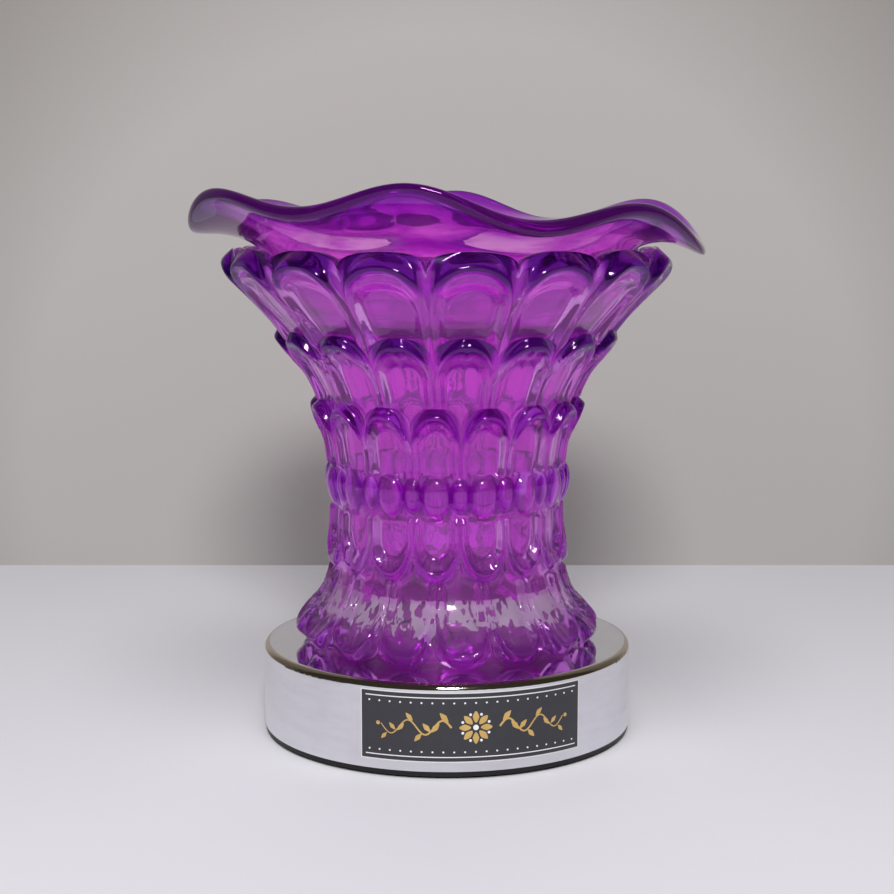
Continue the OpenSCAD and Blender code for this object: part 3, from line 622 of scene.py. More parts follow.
def make_dish_glass():
    """Purple glass, fire polished, with streaks drawn out round the bowl."""
    tree, shader = new_finish("purple_dish")
    set_sockets(shader, IOR=GLASS_IOR, Roughness=POLISH, Specular_Tint=COAT_TINT)
    set_sockets(shader, Transmission_Weight=0.92)
    streaks = ramp(tree, noise(tree, 45, 5, 0.62, (1, 1, 3.6)), [(0.42, 0.0), (0.55, 1.0)])
    thin = mixed(tree, streaks, STREAK_DARK, STREAK_PALE)
    purple = by_thickness_and_shade(tree, thin, BRIM_EDGE_GLASS, BRIM_GLASS)
    tree.links.new(purple, shader.inputs["Base Color"])
    bump(tree, shader, noise(tree, 90, 3, 0.5), 0.00015, 0.25)
    absorb(tree, (0.99, 0.45, 1.0), 45)


make_dish_glass()
print("The dish's glass made")

# %% [markdown]
# ## The label's finishes
# The label is a charcoal sticker on white paper, with gold foil and white print on it. Foil is metal and
# mirrors a little, while the print is dull ink.

# %% Label finishes
surface("label_paper", (0.62, 0.62, 0.64), (0.74, 0.74, 0.76), (0.5, 0.65), grain=2500)
surface("label_charcoal", (0.022, 0.022, 0.028), (0.034, 0.034, 0.042), (0.28, 0.42), grain=3000,
        depth=0.000006)
surface("label_gold", (0.62, 0.38, 0.10), (0.92, 0.66, 0.26), (0.26, 0.42), 0.85, 2400, depth=0.00001)
surface("label_white", (0.72, 0.72, 0.74), (0.84, 0.84, 0.86), (0.45, 0.6), grain=2600)
print("Label finishes made")

# %% [markdown]
# ## Dress the CAD nodes
# The record names a slot for each node, and the finishes above are named for those slots. So one loop
# gives all the nodes their finish. Their shapes and places are left as they are.

# %% Dress the CAD nodes
for part in frame["record"]["subparts"]:
    node = nodes[part["node"]]
    node.data.materials.clear()
    node.data.materials.append(finish_of(part["material_slot"]))

# %% [markdown]
# ## The pressed shade
# The real shade is pressed in a mould: sixteen petals round, in four tiers over a flared foot, with a
# ring of beads at the waist. Every petal has a sunk thumbprint, a rib round the print, and a domed lobe at
# its crown. It could be one petal, sculpted and copied round, but the petals flow into each other. So it
# starts as a circle that is extruded into rings, like a tall tube. Each ring is then moved to its height
# and radius, and the relief is a formula of the place across and up a petal, as in the mould.

# %% Sizes of the shade
SHADE_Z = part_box("shade_lower")[0].z
SHADE_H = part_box("shade_upper")[1].z - SHADE_Z
RIM_R = 67.5 * MM
PETALS = 16
PITCH = 360 / PETALS
PETAL_TURN = 6.25
PROFILE = np.array([
    (0.000, 0.655), (0.028, 0.666), (0.049, 0.668), (0.075, 0.648), (0.105, 0.604), (0.136, 0.566),
    (0.183, 0.536), (0.220, 0.531), (0.300, 0.530), (0.375, 0.524), (0.490, 0.544), (0.530, 0.557),
    (0.587, 0.581), (0.640, 0.602), (0.678, 0.636), (0.735, 0.695), (0.766, 0.726), (0.815, 0.791),
    (0.848, 0.846), (0.881, 0.901), (0.922, 0.961), (0.938, 0.976), (0.962, 0.982), (1.000, 0.966),
])
print("Shade stands on", round(SHADE_Z / MM, 2), "mm and is", round(SHADE_H / MM, 2), "mm tall")

# %% [markdown]
# The plain outline is a list of heights and radii, eased so that no ring shows a corner. The smooth bore
# follows it at the thickness of the wall, measured square to the slope.

# %% The plain outline and the bore
WALL = 4.4 * MM
PROFILE_STEP = 0.012
SLOPE_STEP = 0.02


def smooth_profile(share):
    """The plain outline's radius as a share of the rim's, eased over a short way."""
    taps = [np.interp(share + k * PROFILE_STEP, PROFILE[:, 0], PROFILE[:, 1]) for k in (-1, 0, 1)]
    return (taps[0] + 2 * taps[1] + taps[2]) / 4


def plain_r(z):
    """The outline's radius at a height above the foot, without its relief."""
    return RIM_R * smooth_profile(z / SHADE_H)


def inner_r(z):
    """The bore's radius at a height above the foot."""
    step = SLOPE_STEP * SHADE_H
    slope = (plain_r(z + step) - plain_r(z - step)) / (2 * step)
    return plain_r(z) - WALL * np.sqrt(1 + slope * slope)


print("Bore at mid height:", round(inner_r(SHADE_H / 2) / MM, 1), "mm")

# %% [markdown]
# A petal is drawn once, on a plain square: u goes across it from -1 to 1, and t goes up it from 0 to 1. Its
# edge is a straight flank with an arch on top, rounder than an ellipse. Azimuths are turned into u for the
# petals of a tier, and for those of the tiers that stand between them.

# %% The edge of a petal
ARCH_POWER = 2.2
SPRING = 0.35


def wrap(azimuth):
    """-1 to 1 across each pitch."""
    turns = azimuth / PITCH + 0.5
    return 2 * (turns - np.floor(turns)) - 1


def across(azimuth):
    """-1 to 1 across a petal of the first, second and foot tiers."""
    return wrap(azimuth - PETAL_TURN)


def between(azimuth):
    """-1 to 1 across a petal of the tiers that stand between those."""
    return wrap(azimuth - PETAL_TURN + PITCH / 2)


def arch(u):
    """The height of a petal's arched edge: 1 in the middle, 0 at its cusps."""
    return np.maximum(0, 1 - np.abs(u) ** ARCH_POWER) ** (1 / ARCH_POWER)


def edge(top, cusp, u):
    """The height above the foot of a tier's scalloped edge."""
    return (cusp + (top - cusp) * arch(u)) * SHADE_H


def rise(t):
    """How far up the arch a place is: 0 along the straight flanks."""
    return np.maximum(0, (t - SPRING) / (1 - SPRING))


def reach(u, v):
    """How far out a point lies: 1 on the arched edge."""
    return (np.abs(u) ** ARCH_POWER + v ** ARCH_POWER) ** (1 / ARCH_POWER)


print("Petals:", PETALS, "with arches from", SPRING, "of their height")

# %% [markdown]
# Each point of a petal lies in one of three zones: inside the print, in the rib round it, or in the lobe at
# the crown. Soft steps and round humps give the heights in each zone. A second formula gives the painted
# shade: it darkens the glass in the lobe, where it is thicker, less so at its two cusps, and a little at
# the top of the print.

# %% A petal's relief
RIB_H = 1.2 * MM
PRINT_H = 1.3 * MM
PRINT_W = 0.74
PRINT_TOP = 0.72
RIB_SHARE = 0.32


def ease(x):
    """0 to 1 with soft ends."""
    x = np.clip(x, 0, 1)
    return x * x * (3 - 2 * x)


def bell(x):
    """A round hump: 0 at 0 and 1, 1 half-way."""
    return np.sin(np.pi * np.clip(x, 0, 1)) ** 0.7


def zones(u, t, top):
    """A point's reach as a share of the petal's and of its print's, and its place between the two edges."""
    outer = reach(u, rise(t))
    inner = reach(u / PRINT_W, rise(t) / rise(top))
    return outer, inner, np.clip((inner - 1) / np.maximum(inner - outer, 1e-6), 0, 1)


def panel(u, t, swell, top=PRINT_TOP, split=RIB_SHARE):
    """Relief across and up a petal: a sunk print, a rib round it, and a domed lobe at the crown."""
    outer, inner, band = zones(u, t, top)
    share = ease(rise(t) / 0.8)
    dome = (1 + swell) * bell((band - split + 0.04) / (1.04 - split)) ** 1.3
    lobe = np.maximum(0.9 * bell(band / (split + 0.04)), dome)
    ridge = RIB_H * ((1 - share) * bell(band) + share * lobe)
    sunk = -PRINT_H * ease((1 - inner) / 0.20)
    return np.where(inner < 1, sunk, np.where(outer >= 1, 0.0, ridge))


def crown(u, t, depth, start=0.25, top=PRINT_TOP, split=RIB_SHARE):
    """0 to 1: painted shade on a petal's thicker crown, and a little on the top of its print."""
    _, inner, band = zones(u, t, top)
    # Painted shade: the lobe is darkened, less at its two cusps, and the top of the print a little.
    lobe = depth * ease((band - split + 0.05) / 0.22) * ease((rise(t) - start) / 0.25)
    lobe = lobe * (1 - 0.65 * ease((np.abs(u) - 0.78) / 0.2))
    return np.maximum(lobe, 0.42 * depth * bell((inner - 0.74) / 0.24) * ease((rise(t) - 0.25) / 0.2))


print("Ribs", round(RIB_H / MM, 1), "mm high, prints", round(PRINT_H / MM, 1), "mm deep")

# %% [markdown]
# The ring of beads is two rows of domes in one band: large ones under the third tier's petals, and small
# ones between them. Where two domes meet, the higher one wins, which leaves the sharp groove of the mould.

# %% Beads
BEAD_H = 2.6 * MM


def ball(u, v, half_width, half_height):
    """A dome, 1 in its middle and 0 outside its oval."""
    return np.maximum(0, 1 - (u / half_width) ** 2 - (v / half_height) ** 2) ** 0.6


def beads(azimuth, t):
    """The ring of beads, 0 to 1: large ones under the third tier's petals, small ones between them."""
    large = ball(between(azimuth), 2 * t - 1, 0.60, 1.0)
    small = 0.72 * ball(across(azimuth), 2 * t - 1.05, 0.40, 0.78)
    return np.maximum(0.10 * np.sin(np.pi * t), np.maximum(large, small))


print("Beads:", 2 * PETALS, "and", round(BEAD_H / MM, 1), "mm high")

# %% [markdown]
# Each band of the mould is one function. At an azimuth, and a share of the way up the band, it gives the
# height, the relief, and how much painted shade darkens the glass there. The foot's and the hanging tier's
# petals hang down, so for them the share is turned round.

# %% The bands of the shade
FOOT_EDGE = (0.008, 0.065)
HANG_EDGE = (0.201, 0.255)
BEAD_LOW, BEAD_HIGH = 0.358, 0.462
THIRD_EDGE = (0.628, 0.570)
SECOND_EDGE = (0.800, 0.740)
FIRST_EDGE = (1.000, 0.966)
TALL_TOP, TALL_RIB_SHARE = 0.63, 0.48


def foot_band(a, t):
    """From the foot's lower edge up to the hanging petals. The other bands follow in the same way."""
    low, high = edge(*FOOT_EDGE, across(a)), edge(*HANG_EDGE, between(a))
    return low + t * (high - low), panel(across(a), 1 - t, 1.2), crown(across(a), 1 - t, 0.32)


def hanging_band(a, t):
    low, high = edge(*HANG_EDGE, between(a)), BEAD_LOW * SHADE_H
    return low + t * (high - low), panel(between(a), 1 - t, 0.7), crown(between(a), 1 - t, 0.3)


def bead_band(a, t):
    z = SHADE_H * (BEAD_LOW + t * (BEAD_HIGH - BEAD_LOW)) + 0 * a
    # Painted shade: the glass is darkened in the grooves between the beads, where it is thinner.
    groove_shade = 0.2 + 0.55 * ease((0.75 - beads(a, t)) / 0.4)
    return z, BEAD_H * beads(a, t), groove_shade * np.sin(np.pi * t)


def third_band(a, t):
    low, high = BEAD_HIGH * SHADE_H, edge(*THIRD_EDGE, between(a))
    return low + t * (high - low), panel(between(a), t, 1.6), crown(between(a), t, 0.7)


def second_band(a, t):
    low, high = edge(*THIRD_EDGE, between(a)), edge(*SECOND_EDGE, across(a))
    return low + t * (high - low), panel(across(a), t, 1.9), crown(across(a), t, 1.0, 0.5)


def first_band(a, t):
    low, high = edge(*SECOND_EDGE, across(a)), edge(*FIRST_EDGE, across(a))
    relief = panel(across(a), t, 1.6, TALL_TOP, TALL_RIB_SHARE)
    return low + t * (high - low), relief, crown(across(a), t, 1.0, 0.3, TALL_TOP, TALL_RIB_SHARE)


BANDS = ((foot_band, 26, -1), (hanging_band, 24, -1), (bead_band, 20, 0), (third_band, 26, 1),
         (second_band, 32, 1), (first_band, 34, 1))
print("Bands:", [band.__name__ for band, _, _ in BANDS])

# %% [markdown]
# The rings of the tube are shared out among the bands. They go from under the foot up the outside, over the
# petal tips and down the smooth inside, and stand closer together where the crowns are. Each ring also
# carries how much painted shade darkens the glass, with -1 for the inside, because the glass finish reads
# that. Adding 0 * a turns one number into as many as there are azimuths.

# %% The shade's rings
SKIRT_IN = 2.2 * MM
TIP_HALF, TIP_DROP = 1.92 * MM, 1.12 * MM
# The tips' rings carry their thickness and painted shade.
TIP_RINGS = 5
TIP_THICK_AND_SHADE = 0.8
BORE_RINGS, BORE_FROM, BORE_TO = 24, 0.07, 0.93
CROWDING = 1.5


def spread(share, crown_end):
    """Crowds the rings of a band towards its petals' crowns: 1 for its top, -1 for its bottom."""
    if crown_end > 0:
        return 1 - (1 - share) ** CROWDING
    return share ** CROWDING if crown_end < 0 else share


def shade_rows():
    """One function for each ring: azimuth in; height above the foot, radius, and thickness and painted
    shade out.
    """
    rows = [lambda a: (0 * a, plain_r(0 * a) - SKIRT_IN, 0)]
    rows.append(lambda a: (edge(*FOOT_EDGE, across(a)), plain_r(0 * a) - SKIRT_IN, 0))
    for band, count, crown_end in BANDS:
        for k in range(count):
            def row(a, band=band, t=spread(k / count, crown_end)):
                z, relief, thick = band(a, t)
                return z, plain_r(z) + relief, thick
            rows.append(row)
    for k in range(1, TIP_RINGS + 1):
        def row(a, turn=math.pi * k / (TIP_RINGS + 1)):
            z = edge(*FIRST_EDGE, across(a))
            radius = plain_r(z) - TIP_HALF + TIP_HALF * math.cos(turn)
            return z - TIP_DROP * (1 - math.sin(turn)), radius, TIP_THICK_AND_SHADE
        rows.append(row)
    for share in np.linspace(BORE_TO, BORE_FROM, BORE_RINGS):
        rows.append(lambda a, z=share * SHADE_H: (z + 0 * a, inner_r(z) + 0 * a, -1))
    rows.append(lambda a: (0 * a, inner_r(BORE_FROM * SHADE_H) + 0 * a, -1))
    return rows


shade_rings = shade_rows()
print("Rings of the shade:", len(shade_rings))

# %% [markdown]
# Both glass pieces start in the same way. A circle is extruded upwards in edit mode, a ring at a time, a
# metre apart for now. If the tube is closed, its first and last rings are then selected and bridged.

# %% A tube of rings


def ring_tube(name, columns, rings, closed):
    """A tube of rings a unit apart: a circle extruded upwards, with its ends joined if it is closed."""
    select_only()
    bpy.ops.mesh.primitive_circle_add(vertices=columns, radius=1, location=(0, 0, 0))
    piece = named(name)
    bpy.ops.object.mode_set(mode="EDIT")
    bpy.ops.mesh.select_all(action="SELECT")
    for _ in range(rings - 1):
        bpy.ops.mesh.extrude_region_move(TRANSFORM_OT_translate={"value": (0, 0, 1)})
    if closed:
        bpy.ops.mesh.select_all(action="DESELECT")
        mesh = bmesh.from_edit_mesh(piece.data)
        for vertex in mesh.verts:
            vertex.select = vertex.co.z < 0.5 or vertex.co.z > rings - 1.5
        mesh.select_flush(True)
        for rim_edge in mesh.edges:
            rim_edge.select = all(v.select for v in rim_edge.verts)
        bmesh.update_edit_mesh(piece.data)
        bpy.ops.mesh.bridge_edge_loops()
    bpy.ops.object.mode_set(mode="OBJECT")
    return piece


print("Helper for tubes: ring_tube")

# %% [markdown]
# A ring's number is the height that its points have before they are moved, and their azimuth is known from
# the circle. So each point finds its own place. Turning all faces outwards comes last, because the rings
# may have been joined either way round.

# %% Rings to their places


def points_of(piece):
    """The mesh's points as an array."""
    return np.array([vertex.co for vertex in piece.data.vertices])


def reshape(piece, points):
    """Puts changed points back into the mesh."""
    piece.data.vertices.foreach_set("co", points.ravel())
    piece.data.update()


def mould_rings(piece, rows, columns, base_z, turn_deg=0.0):
    """Moves each ring to the height and radius that its row gives, and keeps its painted shade and
    thickness.
    """
    points = points_of(piece)
    rings = np.rint(points[:, 2]).astype(int)
    azimuth = np.degrees(np.arctan2(points[:, 0], -points[:, 1]))
    step = 360 / columns
    azimuth = turn_deg + step * np.rint((azimuth - turn_deg) / step)
    thick = np.zeros(len(points))
    for index, row in enumerate(rows):
        ring = rings == index
        a = azimuth[ring]
        z, radius, depth = row(a)
        thick[ring] = depth
        points[ring, 0] = radius * np.sin(np.radians(a))
        points[ring, 1] = -radius * np.cos(np.radians(a))
        points[ring, 2] = base_z + z
    layer = piece.data.attributes.new("thick", "FLOAT", "POINT")
    layer.data.foreach_set("value", thick.astype(np.float32))
    reshape(piece, points)


def face_out(piece):
    """Turns all faces outwards."""
    select_only(piece)
    bpy.ops.object.mode_set(mode="EDIT")
    bpy.ops.mesh.select_all(action="SELECT")
    bpy.ops.mesh.normals_make_consistent(inside=False)
    bpy.ops.object.mode_set(mode="OBJECT")


print("Helpers for rings: mould_rings, face_out")

# %% [markdown]
# The shade has 30 columns to a petal, enough to show the groove between its rib and its lobe. It stands for
# two nodes of the CAD model, its lower and its upper part, because the real shade is one piece of glass.

# %% Make the shade
SHADE_COLUMNS = PETALS * 30
shade_glass = ring_tube("shade_glass", SHADE_COLUMNS, len(shade_rings), closed=True)
mould_rings(shade_glass, shade_rings, SHADE_COLUMNS, SHADE_Z, PETAL_TURN)
face_out(shade_glass)
settle(shade_glass, 60)
dress(shade_glass, "purple_glass", "shade", "shade_lower", "shade_upper")

# %% [markdown]
# ## The wavy dish
# The dish is pressed flat, and its brim is then bent by hand into six soft waves while the glass is hot,
# so no two waves are the same. The waves are one regular cosine and a few slow ones that make it uneven:
# some lift a crest, some lean the whole brim, and some move the crests round. They grow towards the brim.

# %% Sizes of the dish
DISH_SEAT_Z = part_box("dish")[0].z
DISH_FOOT_R = 47.2 * MM
DISH_FOOT_ROUND = 2.2 * MM
DISH_H = 36.32 * MM
DISH_GLASS = 4.0 * MM
BRIM_R = 76.6 * MM
BRIM_T = 4.8 * MM
UNDER = ((0.0, 0.065), (0.05, 0.19), (0.12, 0.40), (0.20, 0.56), (0.35, 0.73), (0.56, 0.82), (0.79, 0.885))
WAVES = 6
WAVE_GROWTH, WAVE_LIMIT = 3, 1.2
WAVE_H, SADDLE_H, LEAN_H = 4.0 * MM, 2.5 * MM, 2.1 * MM
WAVE_TURN, SWELL_TURN, SADDLE_TURN, LEAN_TURN = -5, 120, 162, -82
WAVE_DRIFT, DRIFT_TURN = (26, 36), (-58, -3)
SWELL = 0.2


def swing(azimuth, times, turn):
    """A cosine that goes so many times round, highest at a turn. All angles are in degrees."""
    return np.cos(np.radians(times * (azimuth - turn)))


def wave(a, radius):
    """How much the uneven brim lifts the glass at an azimuth and a radius."""
    out = np.maximum(0, (radius - DISH_FOOT_R) / (BRIM_R - DISH_FOOT_R))
    grow = np.minimum(WAVE_LIMIT, out ** WAVE_GROWTH)
    wander = sum(drift * np.sin(np.radians(k * (a - turn)))
                 for k, drift, turn in zip((1, 2), WAVE_DRIFT, DRIFT_TURN))
    crests = WAVE_H * (1 + SWELL * swing(a, 1, SWELL_TURN)) * swing(a + wander / WAVES, WAVES, WAVE_TURN)
    return grow * (crests + SADDLE_H * swing(a, 2, SADDLE_TURN) + LEAN_H * swing(a, 1, LEAN_TURN))


print("Dish stands at", round(DISH_SEAT_Z / MM, 1), "mm and has", WAVES, "waves")

# %% [markdown]
# The half-section of the dish is a list of points. It runs from the middle of the underside out and up to
# the brim, round it, and back down inside the bowl, where the underside is followed at the thickness of the
# glass. The third number of a point is how thick and dark the glass is: 1 in the rolled brim.

# %% The dish's section
BRIM_TURNS = (-60, -20, 20, 60, 100, 140)
BRIM_SHADE = 0.45


def dish_outline():
    """Half-section of the dish: radius, height above the table and thickness of each ring."""
    reach_out, reach_up = BRIM_R - DISH_FOOT_R, DISH_H - BRIM_T / 2
    under = np.array([(DISH_FOOT_R + s * reach_out, DISH_SEAT_Z + h * reach_up) for s, h in UNDER])
    ahead = np.vstack([under[1:], under[-1:]])
    behind = np.vstack([under[:1], under[:-1]])
    along = ahead - behind
    inward = np.stack([-along[:, 1], along[:, 0]], 1) / np.linalg.norm(along, axis=1)[:, None]
    inside = (under + DISH_GLASS * inward)[::-1]
    outline = [(r * MM, DISH_SEAT_Z, 0) for r in (2, 20, 38)]
    outline.append((DISH_FOOT_R - DISH_FOOT_ROUND, DISH_SEAT_Z, 0.2))
    outline += [(r, z, 0) for r, z in under[:-1]]
    outline.append((*under[-1], BRIM_SHADE))
    centre_z = DISH_SEAT_Z + DISH_H - BRIM_T / 2
    for turn in np.radians(BRIM_TURNS):
        outline.append((BRIM_R + BRIM_T / 2 * math.cos(turn), centre_z + BRIM_T / 2 * math.sin(turn), 1))
    outline.append((*inside[0], BRIM_SHADE))
    outline += [(r, z, 0) for r, z in inside[1:-1]]
    outline.append((DISH_FOOT_R - DISH_FOOT_ROUND - DISH_GLASS, DISH_SEAT_Z + DISH_GLASS, 0))
    outline += [(r * MM, DISH_SEAT_Z + DISH_GLASS, 0) for r in (34, 18, 2)]
    return outline


def dish_rows():
    """One function for each ring, as for the shade."""
    return [lambda a, p=p: (p[1] + wave(a, p[0]), p[0] + 0 * a, p[2]) for p in dish_outline()]


dish_rings = dish_rows()
print("Rings of the dish:", len(dish_rings))

# %% [markdown]
# The tube is open at both ends, in the flat middle of the dish, so each end gets a face. A Subdivision
# Surface then smooths the whole, which a poured and bent piece of glass needs more than sharp detail.

# %% Make the dish


def fill_ends(piece):
    """A face over each open end of a tube of rings."""
    select_only(piece)
    bpy.ops.object.mode_set(mode="EDIT")
    bpy.ops.mesh.select_all(action="DESELECT")
    bpy.ops.mesh.select_mode(type="EDGE")
    bpy.ops.mesh.select_non_manifold()
    bpy.ops.mesh.fill_holes(sides=0)
    bpy.ops.mesh.select_mode(type="VERT")
    bpy.ops.object.mode_set(mode="OBJECT")


def smoothed(piece, levels):
    """Applies a Subdivision Surface."""
    select_only(piece)
    modifier = piece.modifiers.new("smooth", "SUBSURF")
    modifier.levels = modifier.render_levels = levels
    bpy.ops.object.modifier_apply(modifier=modifier.name)


DISH_COLUMNS = 72
dish_glass = ring_tube("dish_glass", DISH_COLUMNS, len(dish_rings), closed=False)
mould_rings(dish_glass, dish_rings, DISH_COLUMNS, 0)
fill_ends(dish_glass)
face_out(dish_glass)
smoothed(dish_glass, 2)
settle(dish_glass, 60)
dress(dish_glass, "purple_dish", "dish", "dish")

# %% [markdown]
# ## The label
# A sticker is wrapped round the base, a little to the right of its front. A modifier could curve it along a
# circle, but a formula is exact. Everything on it is drawn flat: X is the way round the base, Z is up, and
# -Y is the height off the metal. The last step of each piece rolls it round the housing.

# %% Sizes of the label, and how it is rolled
BASE_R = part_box("base_housing")[1].x
LABEL_FROM_DEG, LABEL_TO_DEG = -25.5, 42.0
LABEL_LOW, LABEL_HIGH = 5.1 * MM, 25.7 * MM
LABEL_W = math.radians(LABEL_TO_DEG - LABEL_FROM_DEG) * BASE_R
LABEL_H = LABEL_HIGH - LABEL_LOW
LABEL_MID_DEG = (LABEL_FROM_DEG + LABEL_TO_DEG) / 2
LABEL_MID_Z = (LABEL_LOW + LABEL_HIGH) / 2
print("Label", round(LABEL_W / MM, 1), "by", round(LABEL_H / MM, 1), "mm")


def roll_round_base(piece):
    """Rolls a flat drawing round the base, its middle at the label's middle."""
    points = points_of(piece)
    angle = points[:, 0] / BASE_R + math.radians(LABEL_MID_DEG)
    radius = BASE_R - points[:, 1]
    z = points[:, 2] + LABEL_MID_Z
    reshape(piece, np.stack([radius * np.sin(angle), -radius * np.cos(angle), z], 1))


def thicken(piece, thickness):
    """Gives a flat piece its thickness, inwards from its face."""
    select_only(piece)
    modifier = piece.modifiers.new("thickness", "SOLIDIFY")
    modifier.thickness = thickness
    modifier.offset = -1
    bpy.ops.object.modifier_apply(modifier=modifier.name)


# %% [markdown]
# The sticker itself is two plates: white paper, whose edge shows as a thin frame, and the charcoal layer on
# it. Each is a grid cut into columns, so that it bends smoothly when it is rolled.

# %% Make the sticker
PAPER_EDGE = 0.35 * MM
STICKER_COLUMNS, STICKER_ROWS = 72, 4
LABEL_SMOOTH_DEG = 30


def make_plate(name, inset, lift, thickness):
    """One layer of the sticker, smaller than the label by an inset all round, a little off the metal."""
    select_only()
    bpy.ops.mesh.primitive_grid_add(x_subdivisions=STICKER_COLUMNS, y_subdivisions=STICKER_ROWS, size=1,
                                    location=(0, -lift, 0), rotation=(math.pi / 2, 0, 0))
    plate = named(name)
    plate.scale = (LABEL_W - 2 * inset, LABEL_H - 2 * inset, 1)
    apply_place()
    thicken(plate, thickness)
    roll_round_base(plate)
    settle(plate, LABEL_SMOOTH_DEG)
    dress(plate, name, "base")


make_plate("label_paper", 0, 0.14 * MM, 0.12 * MM)
make_plate("label_charcoal", PAPER_EDGE, 0.20 * MM, 0.05 * MM)

# %% [markdown]
# The ornament is made of a few flat shapes. A leaf is a disc that is drawn out to two points. A vine is a
# long thin grid whose columns follow a wave.

# %% Shapes of the ornament


def disc(name, width, height, point=0.0, sides=24):
    """A flat disc, width by height. With point above 0 its two ends are drawn to a tip."""
    select_only()
    bpy.ops.mesh.primitive_circle_add(vertices=sides, radius=1, fill_type="NGON",
                                      location=(0, 0, 0), rotation=(math.pi / 2, 0, 0))
    piece = named(name)
    apply_place()
    points = points_of(piece)
    points[:, 2] *= 1 - point * np.abs(points[:, 0])
    points *= (width / 2, 1, height / 2)
    reshape(piece, points)
    return piece


def ribbon(name, path, width, columns):
    """A thin line along a path: path(t) gives x and z, and width(t) its breadth."""
    select_only()
    bpy.ops.mesh.primitive_grid_add(x_subdivisions=columns, y_subdivisions=1, size=1,
                                    location=(0, 0, 0), rotation=(math.pi / 2, 0, 0))
    piece = named(name)
    apply_place()
    points = points_of(piece)
    t, side = points[:, 0] + 0.5, 2 * points[:, 2]
    x, z = path(t)
    ahead_x, ahead_z = path(t + 1e-4)
    along = np.hypot(ahead_x - x, ahead_z - z)
    half = width(t) / 2 * side
    points[:, 0] = x - half * (ahead_z - z) / along
    points[:, 2] = z + half * (ahead_x - x) / along
    reshape(piece, points)
    return piece


print("Shapes: disc, ribbon")

# %% [markdown]
# Each shape is made once, and its copies have a mesh of their own. All copies of one colour are then joined
# into one piece, lifted off the sticker, given their thickness and rolled round the base.

# %% Copies, and one piece for each colour
PRINT_LIFT = 0.26 * MM
PRINT_T = 0.05 * MM


def copy_at(piece, x, z, turn_deg=0.0, scale=1.0):
    """A copy with its own mesh, turned in the label's plane and moved to its place."""
    twin = piece.copy()
    twin.data = piece.data.copy()
    bpy.context.scene.collection.objects.link(twin)
    twin.location = (x, 0, z)
    twin.rotation_euler = (0, -math.radians(turn_deg), 0)
    twin.scale = (scale, 1, scale)
    return twin


def joined(name, pieces):
    """Joins flat shapes, gives them their lift and thickness, and rolls them round the base."""
    for piece in pieces:
        select_only(piece)
        apply_place()
    select_only(*pieces)
    bpy.ops.object.join()
    result = named(name)
    bpy.ops.transform.translate(value=(0, -PRINT_LIFT, 0))
    apply_place()
    thicken(result, PRINT_T)
    roll_round_base(result)
    face_out(result)
    settle(result, LABEL_SMOOTH_DEG)
    return result


RING_OF = 8


def round_copies(piece, radius, first_deg, scale=1.0, follow=True):
    """Copies in a ring round the label's middle. They turn with the ring if they follow it."""
    turns = [first_deg + 360 / RING_OF * k for k in range(RING_OF)]
    return [copy_at(piece, radius * math.cos(math.radians(turn)), radius * math.sin(math.radians(turn)),
                    turn if follow else 0, scale) for turn in turns]


berry = disc("berry", 0.9 * MM, 0.9 * MM, sides=16)
print("Berry:", len(berry.data.vertices), "points")

# %% [markdown]
# The gold foil is a rosette of eight petals, with a leafy vine on either side of it. The vine swings up and
# down, and its leaves stand by turns above and below it and get smaller towards its end.

# %% Draw the gold foil
VINE_FROM, VINE_TO = 7.0 * MM, 27.5 * MM
VINE_WAVE = 10.0 * MM
VINE_SWING = 2.1 * MM
VINE_COLUMNS = 80
LEAVES = 8
LEAF_STEP, LEAF_LIFT, LEAF_TURN, LEAF_SHRINK = 2.5 * MM, 1.5 * MM, 48, 0.045
ROSETTE_R = 3.1 * MM


def vine_z(x):
    """The vine's height at a distance from the label's middle."""
    return VINE_SWING * np.sin(2 * np.pi * (x - VINE_FROM) / VINE_WAVE)


def vine_path(side):
    """The vine's path on the left (-1) or the right (1)."""
    def path(t):
        x = VINE_FROM + (VINE_TO - VINE_FROM) * t
        return side * x, vine_z(x)
    return path


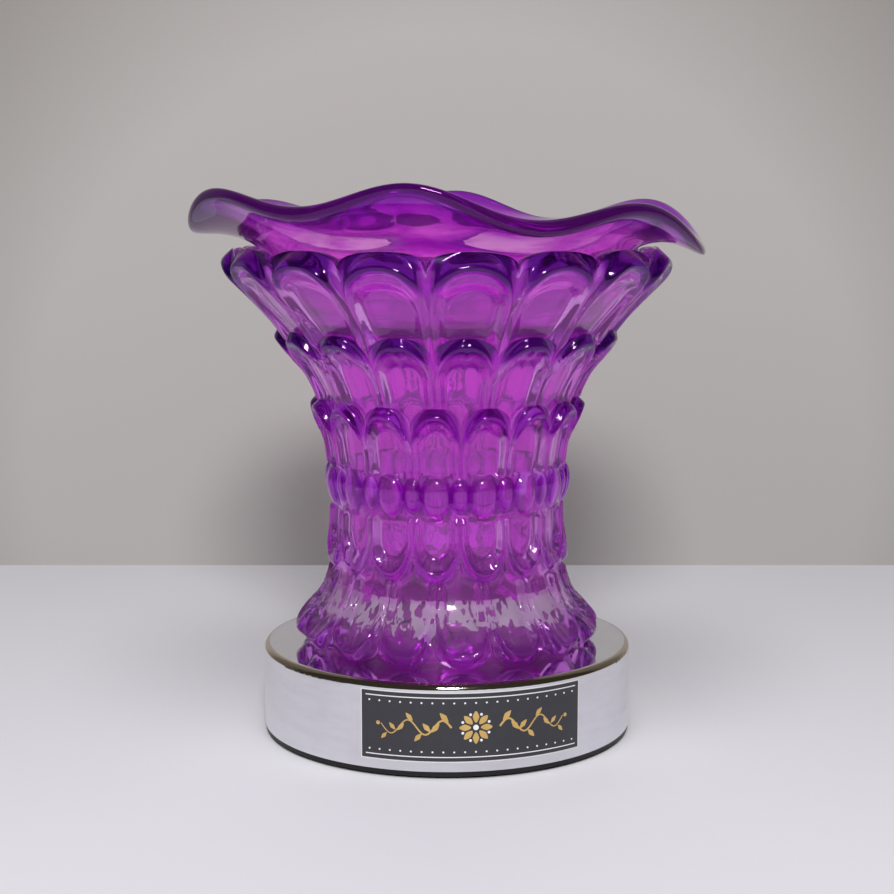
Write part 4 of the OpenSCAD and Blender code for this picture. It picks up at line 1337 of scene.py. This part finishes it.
def leafy_vine(side):
    """A vine with its leaves, and a berry at its end."""
    pieces = [ribbon("vine", vine_path(side), lambda t: (0.62 - 0.35 * t) * MM, VINE_COLUMNS)]
    for k in range(LEAVES):
        x = VINE_FROM + 1.3 * MM + LEAF_STEP * k
        over = 1 if k % 2 == 0 else -1
        turn = 90 - side * (90 - over * LEAF_TURN)
        z = vine_z(x) + over * LEAF_LIFT
        pieces.append(copy_at(leaf, side * (x + 0.8 * MM), z, turn, 1 - LEAF_SHRINK * k))
    pieces.append(copy_at(berry, side * (VINE_TO + 0.9 * MM), vine_z(VINE_TO), 0, 1.3))
    return pieces


leaf = disc("leaf", 3.6 * MM, 1.7 * MM, point=0.55)
petal = disc("petal", 3.4 * MM, 1.9 * MM, point=0.35)
gold = round_copies(petal, ROSETTE_R, 0) + leafy_vine(-1) + leafy_vine(1)
label_gold = joined("label_gold", gold)
dress(label_gold, "label_gold", "base")

# %% [markdown]
# The white print is a line along the top and the bottom, a row of dots inside each line, and dots between
# the rosette's petals and in its middle. The shapes that were only there to be copied are then removed.

# %% Draw the white print
LINE_IN = 1.6 * MM
LINE_W = 0.28 * MM
DOTS_EACH_SIDE = 10
DOTS_IN = 1.2 * MM
DOTS_BELOW = 1.5 * MM
half_w, half_h = LABEL_W / 2 - LINE_IN, LABEL_H / 2 - LINE_IN


def line_at(level):
    """A level line along the label."""
    def path(t):
        return (2 * t - 1) * half_w, level + 0 * t
    return ribbon("line", path, lambda t: LINE_W + 0 * t, VINE_COLUMNS)


white = [line_at(-half_h), line_at(half_h)]
for k in range(-DOTS_EACH_SIDE, DOTS_EACH_SIDE + 1):
    x = k / DOTS_EACH_SIDE * (half_w - DOTS_IN)
    white.append(copy_at(berry, x, DOTS_BELOW - half_h, 0, 0.62))
    white.append(copy_at(berry, x, half_h - DOTS_BELOW, 0, 0.62))
white += round_copies(berry, 4.1 * MM, 22.5, 0.9, follow=False)
white.append(copy_at(berry, 0, 0, 0, 1.8))
label_white = joined("label_white", white)
dress(label_white, "label_white", "base")
for pattern in (leaf, petal, berry):
    bpy.data.objects.remove(pattern, do_unlink=True)
